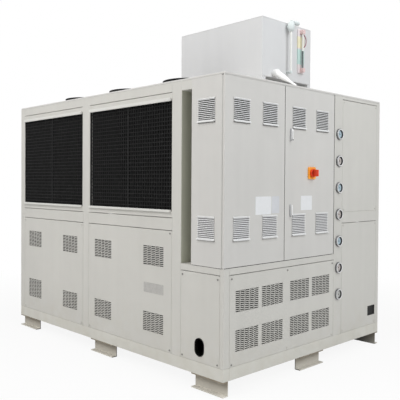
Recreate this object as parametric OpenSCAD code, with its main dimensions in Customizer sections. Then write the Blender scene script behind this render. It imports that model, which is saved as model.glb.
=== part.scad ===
// Air cooled water chiller in a sheet-metal housing on short channel feet.
// Millimetres, +Z up, ground at Z = 0. +X is the end with the control cabinet's doors.
// Inside the modules X runs from the far end, Y from the front face and Z from the base rails' underside.

/* [Housing] */
// Length of the housing
body_l = 2725; // [2500:5:3200]
// Width of the housing
body_w = 1950; // [1800:5:2400]
// Height of the housing from the base rails' underside to the roof
body_h = 2000; // [1900:5:2400]
// Height of the feet
foot_h = 100; // [60:5:200]
// Thickness of the roof deck
deck_t = 15; // [8:1:30]
// Thickness of panels and rails
panel_t = 18; // [12:1:24]
// Depth of the backing strip that panels rest on
back_t = 24; // [16:1:40]
// Width of the backing strip beside each post
lap = 14; // [8:1:18]
// Open seam around each panel
seam = 4; // [2:0.5:6]

/* [Base] */
// Height of the base rails
base_h = 83; // [60:1:120]
// Depth of the base rails
base_t = 60; // [40:1:90]
// Thickness of the base pan
pan_t = 6; // [3:1:10]
// Length of each foot
foot_l = 300; // [200:10:400]
// Width of the foot channel's flanges
foot_flange = 48; // [30:1:58]
// Thickness of the foot channel
foot_t = 7; // [4:0.5:10]

/* [Posts] */
// Width of the corner posts at the far end
far_post_w = 75; // [50:1:100]
// Depth of the corner posts at both ends
corner_d = 55; // [44:1:80]
// Width of the corner posts at the door end
near_post_w = 32; // [26:1:60]
// Far edge of the middle post
mid_post_x = 1094; // [1000:1:1150]
// Width of the middle post beside the lower panels
mid_post_w = 82; // [60:1:120]
// Width of the post at the end of the coil section
coil_post_w = 93; // [60:1:120]
// How much wider the middle post is beside the coils, each side
mullion_extra = 14; // [6:1:20]

/* [Levels] */
// Underside of the middle rail
mid_z = 949; // [850:1:1000]
// Top of the middle rail
mid_top = 1040; // [1020:1:1060]
// Lower edge of the coil screens
screen_z = 1085; // [1075:1:1100]
// Height of the head rail over the coil screens
head_h = 49; // [35:1:160]
// Height of the top rail
top_rail_h = 66; // [45:1:90]
// Underside of the rail that the control cabinet stands on
service_z = 686; // [600:1:700]
// Top of the rail that the control cabinet stands on
service_top = 732; // [720:1:760]

/* [Coils and screens] */
// Depth of the coil blocks
coil_t = 80; // [40:5:150]
// Depth of the screen behind the face
screen_in = 3; // [1:1:8]
// Width of the screen leaf's border
screen_border = 16; // [8:1:30]
// Depth of the pocket in a screen leaf
screen_pocket = 6; // [2:1:8]
// How far the screen tracks stand out
track_out = 16; // [8:1:24]
// Height of the lower track
low_track_h = 18; // [10:1:24]
// Height of the upper track
high_track_h = 24; // [14:1:30]
// How far each track covers the screen's edge
track_cover = 11; // [4:1:16]

/* [Vents] */
// Width of a slotted vent patch
vent_w = 232; // [150:1:240]
// Height of a slotted vent patch
vent_h = 145; // [100:1:160]
// Thickness of a vent plate
vent_t = 3; // [2:0.5:6]
// Middle of the lower vent row on the long sides
vent_low = 268; // [200:1:300]
// Height of the lower vent patch nearest the far end
far_vent_h = 171; // [100:1:200]
// Middle of the lower vent patch nearest the far end
far_vent_z = 290; // [200:1:320]
// Middle of the upper vent row on the long sides
vent_high = 755; // [600:1:800]
// Middle of the lower vent row on the end
end_vent_low = 249; // [200:1:270]
// Middle of the upper vent row on the end
end_vent_high = 509; // [450:1:560]
// Distance of a vent patch from the end of its panel on the long sides
vent_edge = 90; // [60:1:120]
// Distance between the two middle patches of the end panel
end_vent_mid = 84; // [60:1:110]
// Distance between the patches of a pair on the end panel
end_vent_pair = 36; // [20:1:50]

/* [Cable and drain holes] */
// Width of the cable hole
cable_w = 88; // [60:1:120]
// Height of the cable hole
cable_h = 122; // [100:1:180]
// Middle of the cable hole above the base rails' underside
cable_z = 186; // [170:1:260]
// Width of the drain grille
drain_w = 116; // [60:1:160]
// Height of the drain grille
drain_h = 82; // [50:1:120]
// Middle of the drain grille above the base rails' underside
drain_z = 206; // [160:1:300]
// Distance of the drain grille from its panel's edge
drain_edge = 7; // [6:1:60]

/* [Control cabinet] */
// Depth of the control cabinet with its doors
cab_depth = 308; // [230:1:360]
// Width of the recess between the coil section and the control cabinet
recess_w = 102; // [60:1:160]
// Width of the control cabinet
cab_w = 1247; // [1100:1:1300]
// Thickness of the cabinet's sheet
cab_t = 4; // [2:0.5:6]
// Gap between the cabinet's front edge and the doors
door_back_gap = 8; // [7.5:0.5:14]
// Thickness of the doors
door_t = 16; // [14:1:24]
// Gap between the two doors
door_mid_gap = 6; // [5.5:0.5:10]
// Gap above and below the doors
door_end_gap = 5; // [5:0.5:10]
// Gap between the right door and the gauge strip
door_side_gap = 9; // [8:0.5:14]
// Radius of the door pivots
pivot_r = 3; // [2:0.5:4]
// Clearance around each pivot, spindle and boss
fit = 0.06; // [0.02:0.01:0.1]
// Distance of the pivots from the door's face and edge
pivot_in = 6; // [5:0.5:8]
// How deep each pivot reaches into its door
pivot_deep = 20; // [10:1:40]
// Clearance between a pivot's end and its bore's end
pivot_end = 0.3; // [0.2:0.1:0.5]
// Distance of the mounting plate from the cabinet's sides
plate_edge = 60; // [40:5:120]
// Stand-off of the mounting plate
plate_off = 20; // [10:1:40]

/* [Louvres] */
// Width of a louvre vent
louvre_w = 164; // [100:1:180]
// Height of a louvre vent
louvre_h = 158; // [100:1:200]
// How far a louvre vent stands out
louvre_out = 10; // [6:1:10]
// Thickness of a louvre vent's sheet
louvre_t = 2; // [1:0.5:3]
// Number of slats in a louvre vent
louvre_slats = 11; // [6:1:14]
// Middle of the lower louvres
louvre_low = 988; // [900:1:1000]
// Middle of the upper louvres below the doors' top
louvre_top_in = 214; // [120:1:260]
// Distance of a louvre's middle from its door's middle
louvre_off = 147; // [110:1:160]

/* [Switch and handles] */
// Width of the switch plate
switch_w = 90; // [70:1:100]
// Thickness of the switch plate
switch_t = 10; // [8:1:14]
// Middle of the switch from the right door's hinge edge
switch_in = 302; // [250:1:330]
// Middle of the switch above the base rails' underside
switch_z = 1366; // [1250:1:1450]
// Radius of the switch knob
knob_r = 30; // [22:1:36]
// Thickness of the switch knob's disc
knob_t = 18; // [8:1:24]
// Depth of the switch knob's grip
grip_t = 36; // [12:1:44]
// Width of the switch knob's grip
grip_w = 18; // [10:1:24]
// Radius of the switch knob's spindle
spindle_r = 5; // [3:0.5:8]
// Face clearance behind the knob and the handles
face_gap = 0.4; // [0.2:0.1:0.8]
// Width of a handle's plate
handle_w = 24; // [18:1:30]
// Height of a handle's plate
handle_h = 98; // [94:1:130]
// Thickness of a handle's plate
handle_t = 5; // [3:0.5:6]
// Height of a handle's boss above the door
boss_h = 16; // [15.5:0.5:20]
// Thickness of a handle's lever
lever_t = 11; // [8:1:14]
// Length of a handle's lever from its pivot
lever_l = 82; // [60:1:85]
// Radius of a handle's spindle
lever_spindle_r = 4; // [3:0.5:6]
// Middle of the handles from the right door's free edge
handle_in = 62; // [40:1:70]
// Pivot of the upper handle below the doors' top
handle_top_in = 380; // [380:1:420]
// Pivot of the lower handle above the base rails' underside
handle_low = 1053; // [1050:1:1300]

/* [Gauges] */
// Width of the gauge strip
strip_w = 111; // [100:1:140]
// Number of gauges
gauges = 7; // [3:1:8]
// Distance between gauges
gauge_pitch = 212; // [180:1:215]
// Middle of the lowest gauge
gauge_z = 408; // [300:1:420]
// Middle of the gauges from the strip's edge
gauge_in = 63; // [50:1:65]
// Radius of a gauge's flange
gauge_r = 44; // [30:1:46]
// Thickness of a gauge's flange
gauge_flange = 5; // [3:0.5:8]
// Radius of a gauge's rim
gauge_rim_r = 36; // [24:1:40]
// How far a gauge's rim stands out
gauge_out = 16; // [10:1:24]

/* [End panels] */
// Width of the right-hand post on the door end
end_post_w = 46; // [44:1:60]
// Underside of the middle rail on the door end
end_mid_z = 972; // [850:1:1000]
// Top of the middle rail on the door end
end_mid_top = 1060; // [1020:1:1100]
// Height of the top rail on the door end
end_top_h = 25; // [20:1:90]

/* [Fans] */
// Fans in each row
fans = 3; // [2:1:3]
// Middle of the first fan from the far end
fan_first = 600; // [400:1:700]
// Distance between the fans of a row
fan_pitch = 699; // [520:1:720]
// Gap between a fan's drum and the tank's side
fan_gap = 81.5; // [10:0.5:110]
// Radius of a fan's drum
fan_r = 205; // [150:1:245]
// Height of a fan's drum
fan_h = 55; // [20:1:80]
// Thickness of a fan's guard
guard_t = 5; // [3:0.5:8]
// Width of a guard's bars
guard_bar = 6; // [4:0.5:10]
// Rings in a guard
guard_rings = 5; // [3:1:8]
// Spokes in a guard
guard_spokes = 8; // [4:1:12]

/* [Tank] */
// Length of the make-up tank
tank_l = 894; // [600:1:900]
// Width of the make-up tank
tank_w = 607; // [400:1:610]
// Height of the make-up tank with its lid
tank_h = 445; // [300:5:600]
// Thickness of the tank's walls
tank_t = 5; // [3:0.5:8]
// Thickness of the tank's lid
lid_t = 8; // [4:1:16]
// Distance of the tank from the door end
tank_in = 240; // [200:1:300]
// Distance of the tank's middle from the housing's middle, towards the front
tank_off = 20; // [0:1:40]
// Height of the tank's stand
stand_h = 89; // [50:1:140]
// Width of a runner under the tank
stand_w = 40; // [30:1:90]

/* [Tank fittings] */
// Radius of the sight tube
tube_r = 9; // [7:0.5:14]
// Distance of the fittings' axes from the tank's end
tube_out = 36; // [30:1:60]
// Distance of the sight tube from the tank's middle, towards the front
tube_off = 3; // [0:1:40]
// Distance of the sight tube's lower arm from the tank's floor
arm_in = 60; // [50:1:90]
// Radius of the arms of the sight tube and the fill fitting
arm_r = 7; // [5:0.5:8]
// Distance of the level gauge from the tank's middle
level_off = 165; // [120:1:180]
// Width of the level gauge's back plate
level_w = 84; // [60:1:90]
// Height of the level gauge's back plate
level_h = 350; // [200:5:360]
// Height of the level gauge's back plate above the tank's floor
level_up = 76; // [60:1:80]
// Thickness of the level gauge's back plate
level_t = 8; // [4:1:12]
// Radius of the level gauge's glass
glass_r = 8; // [5:0.5:10]
// Radius of the fill fitting's upright body
fill_r = 26; // [20:1:29]
// Height of the fill fitting's upright body
fill_h = 74; // [50:1:90]
// Radius of the fill fitting's inlet
inlet_r = 17; // [12:1:20]
// Height of the inlet's axis above the tank
inlet_up = 4; // [0:1:20]
// Length of the inlet from the body's axis
inlet_l = 93; // [60:1:110]
// Distance of the overflow pipe from the tank's middle
pipe_off = 160; // [100:1:200]
// Radius of the overflow pipe where it leaves the tank
pipe_r = 25; // [16:1:26]
// Radius of the overflow pipe's end
tip_r = 7; // [5:1:12]
// Height of the overflow pipe's outlet above the tank's floor
pipe_up = 36; // [34:1:80]
// Radius of the overflow pipe's collar
collar_r = 28; // [28:1:32]
// Length of the overflow pipe's collar
collar_l = 40; // [36:1:60]
// Distance of the overflow pipe's end from the roof's edge
pipe_end = 34; // [20:1:60]

/* [Hidden] */
$fn = 48;
eps = 1;
reach = switch_t + face_gap + knob_t + grip_t;
x_far = -(body_l + reach) / 2;
frame_t = panel_t + back_t;
roof_z = body_h - deck_t;
shelf_t = pan_t;
top_z = roof_z - top_rail_h;
screen_top = top_z - head_h;
end_top_z = roof_z - end_top_h;
cab_x = body_l - cab_depth;
coil_end = cab_x - recess_w;
coil_post_x = coil_end - coil_post_w;
near_post_x = body_l - near_post_w;
door_x = body_l - door_t;
cab_front = door_x - door_back_gap;
strip_y = cab_w + door_side_gap;
strip_end = strip_y + strip_w;
end_post_y = body_w - end_post_w;
door_z = service_top + door_end_gap;
door_top = roof_z - door_end_gap;
louvre_high = door_top - louvre_top_in;
handle_high = door_top - handle_top_in;
left_door_end = cab_w / 2 - door_mid_gap / 2;
right_door_y = cab_w / 2 + door_mid_gap / 2;
switch_y = cab_w - switch_in;
handle_y = right_door_y + handle_in;
tank_x = body_l - tank_in - tank_l;
tank_y = (body_w - tank_w) / 2 - tank_off;
tank_end = body_l - tank_in;
tank_mid = tank_y + tank_w / 2;
fan_in = tank_y - fan_gap - fan_r;
tank_z = body_h + stand_h;
wall_top = tank_z + tank_h - lid_t;
tube_x = tank_end + tube_out;
tube_y = tank_mid - tube_off;
pipe_x = tank_end + collar_l / 2;
pipe_run = body_l - pipe_end - pipe_x;
pipe_z = tank_z + pipe_up;
// Slope of the overflow pipe, so that its end rests on the roof
pipe_slope = atan2(pipe_z - body_h - tip_r, pipe_run);
pipe_drop = pipe_z - body_h - tip_r * cos(pipe_slope);
inlet_z = tank_z + tank_h + inlet_up;
fill_z = inlet_z - fill_h;
cable_x = (coil_end + near_post_x) / 2;
drain_y = end_post_y - seam - drain_edge - drain_w / 2;
// Far and near edge of each bay on the long sides, beside the lower panels
low_bays = [[far_post_w, mid_post_x], [mid_post_x + mid_post_w, coil_post_x]];
// Far and near edge of each bay on the long sides, beside the coils
high_bays = [for (b = low_bays) [b[0] == far_post_w ? b[0] : b[0] + mullion_extra,
    b[0] == far_post_w ? b[1] - mullion_extra : b[1] - mullion_extra / 2]];
paint = [0.79, 0.78, 0.75];
door_paint = [0.81, 0.80, 0.78];
black = [0.06, 0.06, 0.06];

// Places what is drawn from the far end, the front face and the base rails' underside
module at_front() {
    translate([x_far, -body_w / 2, foot_h]) children();
}

// The same, mirrored to the rear face
module at_rear() {
    mirror([0, 1, 0]) at_front() children();
}

// A block between two corners
module block(low, high) {
    translate(low) cube(high - low);
}

// A round bar along X from a point
module bar_x(place, r, length) {
    translate(place) rotate([0, 90, 0]) cylinder(r = r, h = length);
}

module base_side_rails() {
    color(paint) at_front() for (y = [0, body_w - base_t]) block([0, y, 0], [body_l, y + base_t, base_h]);
}

module base_end_rails() {
    color(paint) at_front() for (x = [0, body_l - base_t])
        block([x, base_t, 0], [x + base_t, body_w - base_t, base_h]);
}

module base_pan() {
    color(paint) at_front()
        block([base_t, base_t, base_h - pan_t], [body_l - base_t, body_w - base_t, base_h]);
}

// A foot along X: a channel with its web inside and its flanges pointing out, towards -Y
module foot() {
    translate([-foot_l / 2, 0, 0]) rotate([90, 0, 90]) linear_extrude(foot_l) difference() {
        square([foot_flange, foot_h]);
        translate([-eps, foot_t]) square([foot_flange - foot_t + eps, foot_h - 2 * foot_t]);
    }
}

module feet() {
    color(paint) for (side = [0, 1]) {
        mirror([0, side, 0]) for (x = [foot_l / 2, body_l / 2, body_l - foot_l / 2])
            translate([x_far + x, -body_w / 2, 0]) foot();
        translate([x_far + (side == 0 ? 0 : body_l), 0, 0]) rotate([0, 0, side == 0 ? -90 : 90]) foot();
    }
}

// A post on a long side with its backing strips, between two heights
module post(x0, x1, z0, z1, far_lap, near_lap) {
    block([x0, 0, z0], [x1, panel_t, z1]);
    block([x0 - far_lap, panel_t, z0], [x1 + near_lap, frame_t, z1]);
}

// A corner post at the far end with backing for both faces
module far_corner() {
    block([0, 0, base_h], [far_post_w, corner_d, roof_z]);
    block([far_post_w, panel_t, base_h], [far_post_w + lap, frame_t, roof_z]);
    block([panel_t, corner_d, base_h], [frame_t, corner_d + lap, roof_z]);
}

module middle_post() {
    post(mid_post_x, mid_post_x + mid_post_w, base_h, mid_top, lap, lap);
    post(mid_post_x - mullion_extra, mid_post_x + mid_post_w + mullion_extra, mid_top, roof_z, lap, lap);
}

// The post at the end of the coil section, with a backing strip on its near side up to one height
module coil_post(near_top) {
    post(coil_post_x, coil_end, base_h, mid_top, lap, 0);
    post(coil_post_x - mullion_extra / 2, coil_end, mid_top, roof_z, lap, 0);
    block([coil_end, panel_t, base_h], [coil_end + lap, frame_t, near_top]);
}

module front_posts() {
    color(paint) at_front() {
        far_corner();
        middle_post();
        coil_post(service_top - shelf_t);
        block([near_post_x, 0, base_h], [body_l, corner_d, service_top]);
        block([near_post_x - lap, panel_t, base_h], [near_post_x, frame_t, service_top - shelf_t]);
        block([body_l - frame_t, corner_d, base_h], [body_l - panel_t, corner_d + lap, service_top - shelf_t]);
    }
}

module rear_posts() {
    color(paint) at_rear() {
        far_corner();
        middle_post();
        coil_post(roof_z);
        block([near_post_x, 0, base_h], [body_l, end_post_w, roof_z]);
        block([near_post_x - lap, panel_t, base_h], [near_post_x, frame_t, roof_z]);
        block([body_l - frame_t, end_post_w, base_h], [body_l - panel_t, end_post_w + lap, roof_z]);
    }
}

// The four rails of each bay on a long side: middle, sill, head and top
module bay_rails() {
    for (b = low_bays) block([b[0], 0, mid_z + seam / 2], [b[1], panel_t, mid_top - seam / 2]);
    for (b = high_bays) {
        block([b[0], 0, mid_top + seam / 2], [b[1], panel_t, screen_z]);
        block([b[0], 0, screen_top], [b[1], panel_t, top_z - seam / 2]);
        block([b[0], 0, top_z + seam / 2], [b[1], panel_t, roof_z]);
    }
}

module front_rails() {
    color(paint) at_front() {
        bay_rails();
        block([coil_end, 0, service_z + seam / 2], [near_post_x, panel_t, service_top]);
        block([coil_end, 0, top_z + seam / 2], [cab_x, frame_t, roof_z]);
    }
}

module rear_rails() {
    color(paint) at_rear() {
        bay_rails();
        block([coil_end, 0, mid_z + seam / 2], [near_post_x, panel_t, mid_top - seam / 2]);
        block([coil_end, 0, top_z + seam / 2], [near_post_x, panel_t, roof_z]);
    }
}

module end_rails() {
    color(paint) at_front() {
        block([0, corner_d, mid_z + seam / 2], [panel_t, body_w - corner_d, mid_top - seam / 2]);
        block([0, corner_d, top_z + seam / 2], [panel_t, body_w - corner_d, roof_z]);
        block([body_l - panel_t, corner_d, service_z + seam / 2], [body_l, strip_y, service_top]);
        block([body_l - panel_t, strip_end, end_mid_z + seam / 2],
            [body_l, end_post_y, end_mid_top - seam / 2]);
        block([body_l - panel_t, strip_end, end_top_z + seam / 2], [body_l, end_post_y, roof_z]);
    }
}

module coil_blocks() {
    for (b = high_bays) block([b[0] + lap, panel_t, screen_z], [b[1] - lap, panel_t + coil_t, screen_top]);
}

module condenser_coils() {
    color(black) {
        at_front() coil_blocks();
        at_rear() coil_blocks();
    }
}

// One leaf of a coil screen: a bordered tray
module screen_leaf(x0, x1) {
    difference() {
        block([x0, screen_in, screen_z], [x1, panel_t, screen_top]);
        block([x0 + screen_border, screen_in - eps, screen_z + screen_border],
            [x1 - screen_border, screen_in + screen_pocket, screen_top - screen_border]);
    }
}

module screen_leaves() {
    for (b = high_bays) {
        middle = (b[0] + b[1]) / 2;
        screen_leaf(b[0], middle - seam / 2);
        screen_leaf(middle + seam / 2, b[1]);
    }
}

module front_screens() {
    color(black) at_front() screen_leaves();
}

module rear_screens() {
    color(black) at_rear() screen_leaves();
}

module tracks() {
    for (b = high_bays) {
        low = screen_z + track_cover - low_track_h;
        high = screen_top - track_cover;
        block([b[0] + seam, -track_out, low], [b[1] - seam, 0, low + low_track_h]);
        block([b[0] + seam, -track_out, high], [b[1] - seam, 0, high + high_track_h]);
    }
}

module screen_tracks() {
    color(door_paint) {
        at_front() tracks();
        at_rear() tracks();
    }
}

// Left edges of the four vent columns of a long side
function vent_columns() = [for (b = low_bays) for (x = [b[0] + vent_edge, b[1] - vent_edge - vent_w]) x];

// Middle and height of each vent patch in a column, counted from the far end
function vent_rows(column) = [
    column == 0 ? [far_vent_z, far_vent_h] : [vent_low, vent_h],
    [vent_high, vent_h]];

// The vent patches of a long side, deep enough to cut or as thick as a plate
module side_vents(front, back) {
    edges = vent_columns();
    for (k = [0 : len(edges) - 1])
        for (row = vent_rows(k))
            block([edges[k], front, row[0] - row[1] / 2], [edges[k] + vent_w, back, row[0] + row[1] / 2]);
}

module side_panels() {
    difference() {
        for (b = low_bays) block([b[0] + seam, 0, base_h + seam], [b[1] - seam, panel_t, mid_z - seam / 2]);
        side_vents(-eps, panel_t + eps);
    }
}

module front_panels() {
    color(paint) at_front() side_panels();
}

// An upright slot with round ends through a front panel
module cable_slot() {
    for (end = [-1, 1])
        translate([cable_x, -eps, cable_z + end * (cable_h - cable_w) / 2])
            rotate([-90, 0, 0]) cylinder(d = cable_w, h = panel_t + 2 * eps);
    block([cable_x - cable_w / 2, -eps, cable_z - (cable_h - cable_w) / 2],
        [cable_x + cable_w / 2, panel_t + eps, cable_z + (cable_h - cable_w) / 2]);
}

module cable_panel() {
    color(paint) at_front() difference() {
        block([coil_end + seam, 0, base_h + seam], [near_post_x - seam, panel_t, service_z - seam / 2]);
        cable_slot();
    }
}

module rear_panels() {
    color(paint) at_rear() {
        side_panels();
        block([coil_end + seam, 0, base_h + seam], [near_post_x - seam, panel_t, mid_z - seam / 2]);
        block([coil_end + seam, 0, mid_top + seam / 2], [near_post_x - seam, panel_t, top_z - seam / 2]);
    }
}

module far_end_panels() {
    middle = body_w / 2;
    color(paint) at_front()
        for (z = [[base_h + seam, mid_z - seam / 2], [mid_top + seam / 2, top_z - seam / 2]])
            for (y = [[corner_d + seam, middle - seam / 2], [middle + seam / 2, body_w - corner_d - seam]])
                block([0, y[0], z[0]], [panel_t, y[1], z[1]]);
}

// Near edges of the four vent patches on the end panel
function end_vent_edges() = [for (side = [-1, 1]) for (k = [0, 1])
    (corner_d + strip_y) / 2 + side * (end_vent_mid / 2 + k * (vent_w + end_vent_pair))
        - (side < 0 ? vent_w : 0)];

module end_vents(back, front) {
    for (y = end_vent_edges())
        for (z = [end_vent_low, end_vent_high])
            block([back, y, z - vent_h / 2], [front, y + vent_w, z + vent_h / 2]);
}

module end_lower_panel() {
    color(paint) at_front() difference() {
        block([body_l - panel_t, corner_d + seam, base_h + seam],
            [body_l, strip_y - seam, service_z - seam / 2]);
        end_vents(body_l - panel_t - eps, body_l + eps);
    }
}

module end_tall_panels() {
    color(paint) at_front() {
        block([body_l - panel_t, strip_end + seam, end_mid_top + seam / 2],
            [body_l, end_post_y - seam, end_top_z - seam / 2]);
        difference() {
            block([body_l - panel_t, strip_end + seam, base_h + seam],
                [body_l, end_post_y - seam, end_mid_z - seam / 2]);
            drain_block(body_l - panel_t - eps, body_l + eps);
        }
    }
}

module drain_block(back, front) {
    block([back, drain_y - drain_w / 2, drain_z - drain_h / 2],
        [front, drain_y + drain_w / 2, drain_z + drain_h / 2]);
}

module drain_grille() {
    color(black) at_front() drain_block(body_l - panel_t, body_l - panel_t + vent_t);
}

module gauge_strip() {
    color(paint) at_front() {
        block([body_l - panel_t, strip_y, base_h], [body_l, strip_end, roof_z]);
        block([body_l - frame_t, strip_y, base_h], [body_l - panel_t, strip_end + lap, roof_z]);
        block([body_l - frame_t, strip_y - lap, base_h], [body_l - panel_t, strip_y, service_top - shelf_t]);
    }
}

module front_vent_plates() {
    color(paint) at_front() side_vents(0, vent_t);
}

module rear_vent_plates() {
    color(paint) at_rear() side_vents(0, vent_t);
}

module end_vent_plates() {
    color(paint) at_front() end_vents(body_l - vent_t, body_l);
}

module coil_end_wall() {
    color(paint) at_front() block([coil_end - cab_t, frame_t, service_top], [coil_end, strip_y, roof_z]);
}

module compartment_wall() {
    color(paint) at_front() block([coil_end, strip_y - cab_t, service_top], [cab_front, strip_y, roof_z]);
}

module service_shelf() {
    color(paint) at_front() {
        block([coil_end, panel_t, service_top - shelf_t], [near_post_x, strip_y, service_top]);
        block([near_post_x, corner_d, service_top - shelf_t], [body_l - panel_t, strip_y, service_top]);
    }
}

module cabinet_back() {
    color(door_paint) at_front() block([cab_x, 0, service_top], [cab_x + cab_t, cab_w, roof_z]);
}

module cabinet_sides() {
    color(door_paint) at_front() for (y = [0, cab_w - cab_t])
        block([cab_x + cab_t, y, service_top], [cab_front, y + cab_t, roof_z]);
}

module cabinet_floor() {
    color(door_paint) at_front()
        block([cab_x + cab_t, cab_t, service_top], [cab_front, cab_w - cab_t, service_top + cab_t]);
}

module cabinet_roof() {
    color(door_paint) at_front()
        block([cab_x + cab_t, cab_t, roof_z - cab_t], [cab_front, cab_w - cab_t, roof_z]);
}

// The plate for switchgear, on four round spacers against the cabinet's back
module mounting_plate() {
    back = cab_x + cab_t;
    low = service_top + plate_edge;
    high = roof_z - plate_edge;
    color("silver") at_front() {
        block([back + plate_off, plate_edge, low], [back + plate_off + vent_t, cab_w - plate_edge, high]);
        for (y = [2 * plate_edge, cab_w - 2 * plate_edge])
            for (z = [low + plate_edge, high - plate_edge])
                bar_x([back, y, z], spindle_r, plate_off);
    }
}

// The bores for a door's two pivots, at a distance from the front face
module pivot_bores(y) {
    translate([body_l - pivot_in, y, door_z - eps])
        cylinder(r = pivot_r + fit, h = pivot_deep + pivot_end + eps);
    translate([body_l - pivot_in, y, door_top - pivot_deep - pivot_end])
        cylinder(r = pivot_r + fit, h = pivot_deep + pivot_end + eps);
}

module left_door() {
    color(door_paint) at_front() difference() {
        block([door_x, 0, door_z], [body_l, left_door_end, door_top]);
        pivot_bores(pivot_in);
    }
}

module right_door() {
    color(door_paint) at_front() difference() {
        block([door_x, right_door_y, door_z], [body_l, cab_w, door_top]);
        pivot_bores(cab_w - pivot_in);
    }
}

module door_pivots() {
    color("silver") at_front() for (y = [pivot_in, cab_w - pivot_in])
        for (z = [service_top, door_top - pivot_deep])
            translate([body_l - pivot_in, y, z]) cylinder(r = pivot_r, h = door_end_gap + pivot_deep);
}

// A louvre vent that faces +X: a sheet with a saw-tooth of slats between two lips
module louvre() {
    pitch = (louvre_h - 2 * louvre_out) / louvre_slats;
    low = louvre_out - louvre_h / 2;
    tooth = louvre_out - louvre_t;
    teeth = [for (k = [0 : louvre_slats - 1]) for (p = [[tooth, k], [louvre_t, k + 1]])
        [p[0], low + pitch * p[1]]];
    outline = concat([[0, -louvre_h / 2], [louvre_out, -louvre_h / 2], [louvre_out, low]], teeth,
        [[louvre_out, louvre_h / 2 - louvre_out], [louvre_out, louvre_h / 2], [0, louvre_h / 2]]);
    translate([0, louvre_w / 2, 0]) rotate([90, 0, 0]) linear_extrude(louvre_w) polygon(outline);
}

module door_louvres(middle) {
    for (y = [middle - louvre_off, middle + louvre_off])
        for (z = [louvre_low, louvre_high])
            translate([body_l, y, z]) louvre();
}

module left_door_louvres() {
    color(door_paint) at_front() door_louvres(left_door_end / 2);
}

module right_door_louvres() {
    color(door_paint) at_front() door_louvres((right_door_y + cab_w) / 2);
}

module side_louvres() {
    color(door_paint) at_front() for (z = [louvre_low, louvre_high])
        translate([(cab_x + cab_front) / 2, 0, z]) rotate([0, 0, -90]) louvre();
}

module switch_plate() {
    color("orange") at_front() difference() {
        block([body_l, switch_y - switch_w / 2, switch_z - switch_w / 2],
            [body_l + switch_t, switch_y + switch_w / 2, switch_z + switch_w / 2]);
        bar_x([body_l + eps, switch_y, switch_z], spindle_r + fit, switch_t);
    }
}

module switch_knob() {
    face = body_l + switch_t + face_gap;
    color("red") at_front() {
        bar_x([body_l + eps + face_gap, switch_y, switch_z], spindle_r, switch_t + knob_t / 2);
        bar_x([face, switch_y, switch_z], knob_r, knob_t);
        block([face + knob_t / 2, switch_y - grip_w / 2, switch_z - knob_r + eps],
            [face + knob_t + grip_t, switch_y + grip_w / 2, switch_z + knob_r - eps]);
    }
}

// The fixed plate and boss of a door handle
module handle_plate(z) {
    difference() {
        union() {
            block([body_l, handle_y - handle_w / 2, z - handle_w / 2],
                [body_l + handle_t, handle_y + handle_w / 2, z - handle_w / 2 + handle_h]);
            bar_x([body_l, handle_y, z], handle_w / 2 - eps, boss_h);
        }
        bar_x([body_l + eps, handle_y, z], lever_spindle_r + fit, boss_h);
    }
}

module handle_plates() {
    color("silver") at_front() for (z = [handle_high, handle_low]) handle_plate(z);
}

// The turning lever of a door handle, upright when the door is shut
module lever(z) {
    back = body_l + boss_h + face_gap;
    half = handle_w / 2 - 2 * eps;
    bar_x([body_l + eps + face_gap, handle_y, z], lever_spindle_r, boss_h + lever_t / 2);
    bar_x([back, handle_y, z], handle_w / 2 - eps, lever_t);
    block([back, handle_y - half, z], [back + lever_t, handle_y + half, z + lever_l - half]);
    bar_x([back, handle_y, z + lever_l - half], half, lever_t);
}

module upper_handle() {
    color("silver") at_front() lever(handle_high);
}

module lower_handle() {
    color("silver") at_front() lever(handle_low);
}

module pressure_gauges() {
    color("silver") at_front() for (k = [0 : gauges - 1])
        translate([body_l, strip_y + gauge_in, gauge_z + k * gauge_pitch]) rotate([0, 90, 0]) {
            cylinder(r = gauge_r, h = gauge_flange);
            cylinder(r = gauge_rim_r, h = gauge_out);
        }
}

module roof_deck() {
    color(paint) at_front() block([0, 0, roof_z], [body_l, body_w, body_h]);
}

// What is drawn at the middle of every fan, on the roof
module at_fans() {
    at_front() for (y = [fan_in, body_w - fan_in])
        for (k = [0 : fans - 1])
            translate([fan_first + k * fan_pitch, y, body_h]) children();
}

module fan_drums() {
    color(black) at_fans() cylinder(r = fan_r, h = fan_h, $fn = 96);
}

// A flat guard of rings and spokes on each drum
module fan_guards() {
    color(black) at_fans() translate([0, 0, fan_h]) linear_extrude(guard_t) {
        for (k = [1 : guard_rings]) difference() {
            circle(r = fan_r * k / guard_rings, $fn = 96);
            circle(r = fan_r * k / guard_rings - guard_bar, $fn = 96);
        }
        for (k = [0 : guard_spokes - 1]) rotate(k * 360 / guard_spokes)
            translate([0, -guard_bar / 2]) square([fan_r - guard_bar / 2, guard_bar]);
    }
}

module tank_stand() {
    color(paint) at_front()
        for (y = [tank_y, tank_y + tank_w - stand_w])
            block([tank_x, y, body_h], [tank_x + tank_l, y + stand_w, tank_z]);
}

module tank_floor() {
    color("gainsboro") at_front()
        block([tank_x, tank_y, tank_z], [tank_x + tank_l, tank_y + tank_w, tank_z + tank_t]);
}

module tank_sides() {
    color("gainsboro") at_front() for (y = [tank_y, tank_y + tank_w - tank_t])
        block([tank_x, y, tank_z + tank_t], [tank_x + tank_l, y + tank_t, wall_top]);
}

module tank_ends() {
    color("gainsboro") at_front() for (x = [tank_x, tank_x + tank_l - tank_t])
        block([x, tank_y + tank_t, tank_z + tank_t], [x + tank_t, tank_y + tank_w - tank_t, wall_top]);
}

module tank_lid() {
    color("gainsboro") at_front()
        block([tank_x, tank_y, wall_top], [tank_x + tank_l, tank_y + tank_w, wall_top + lid_t]);
}

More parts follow.
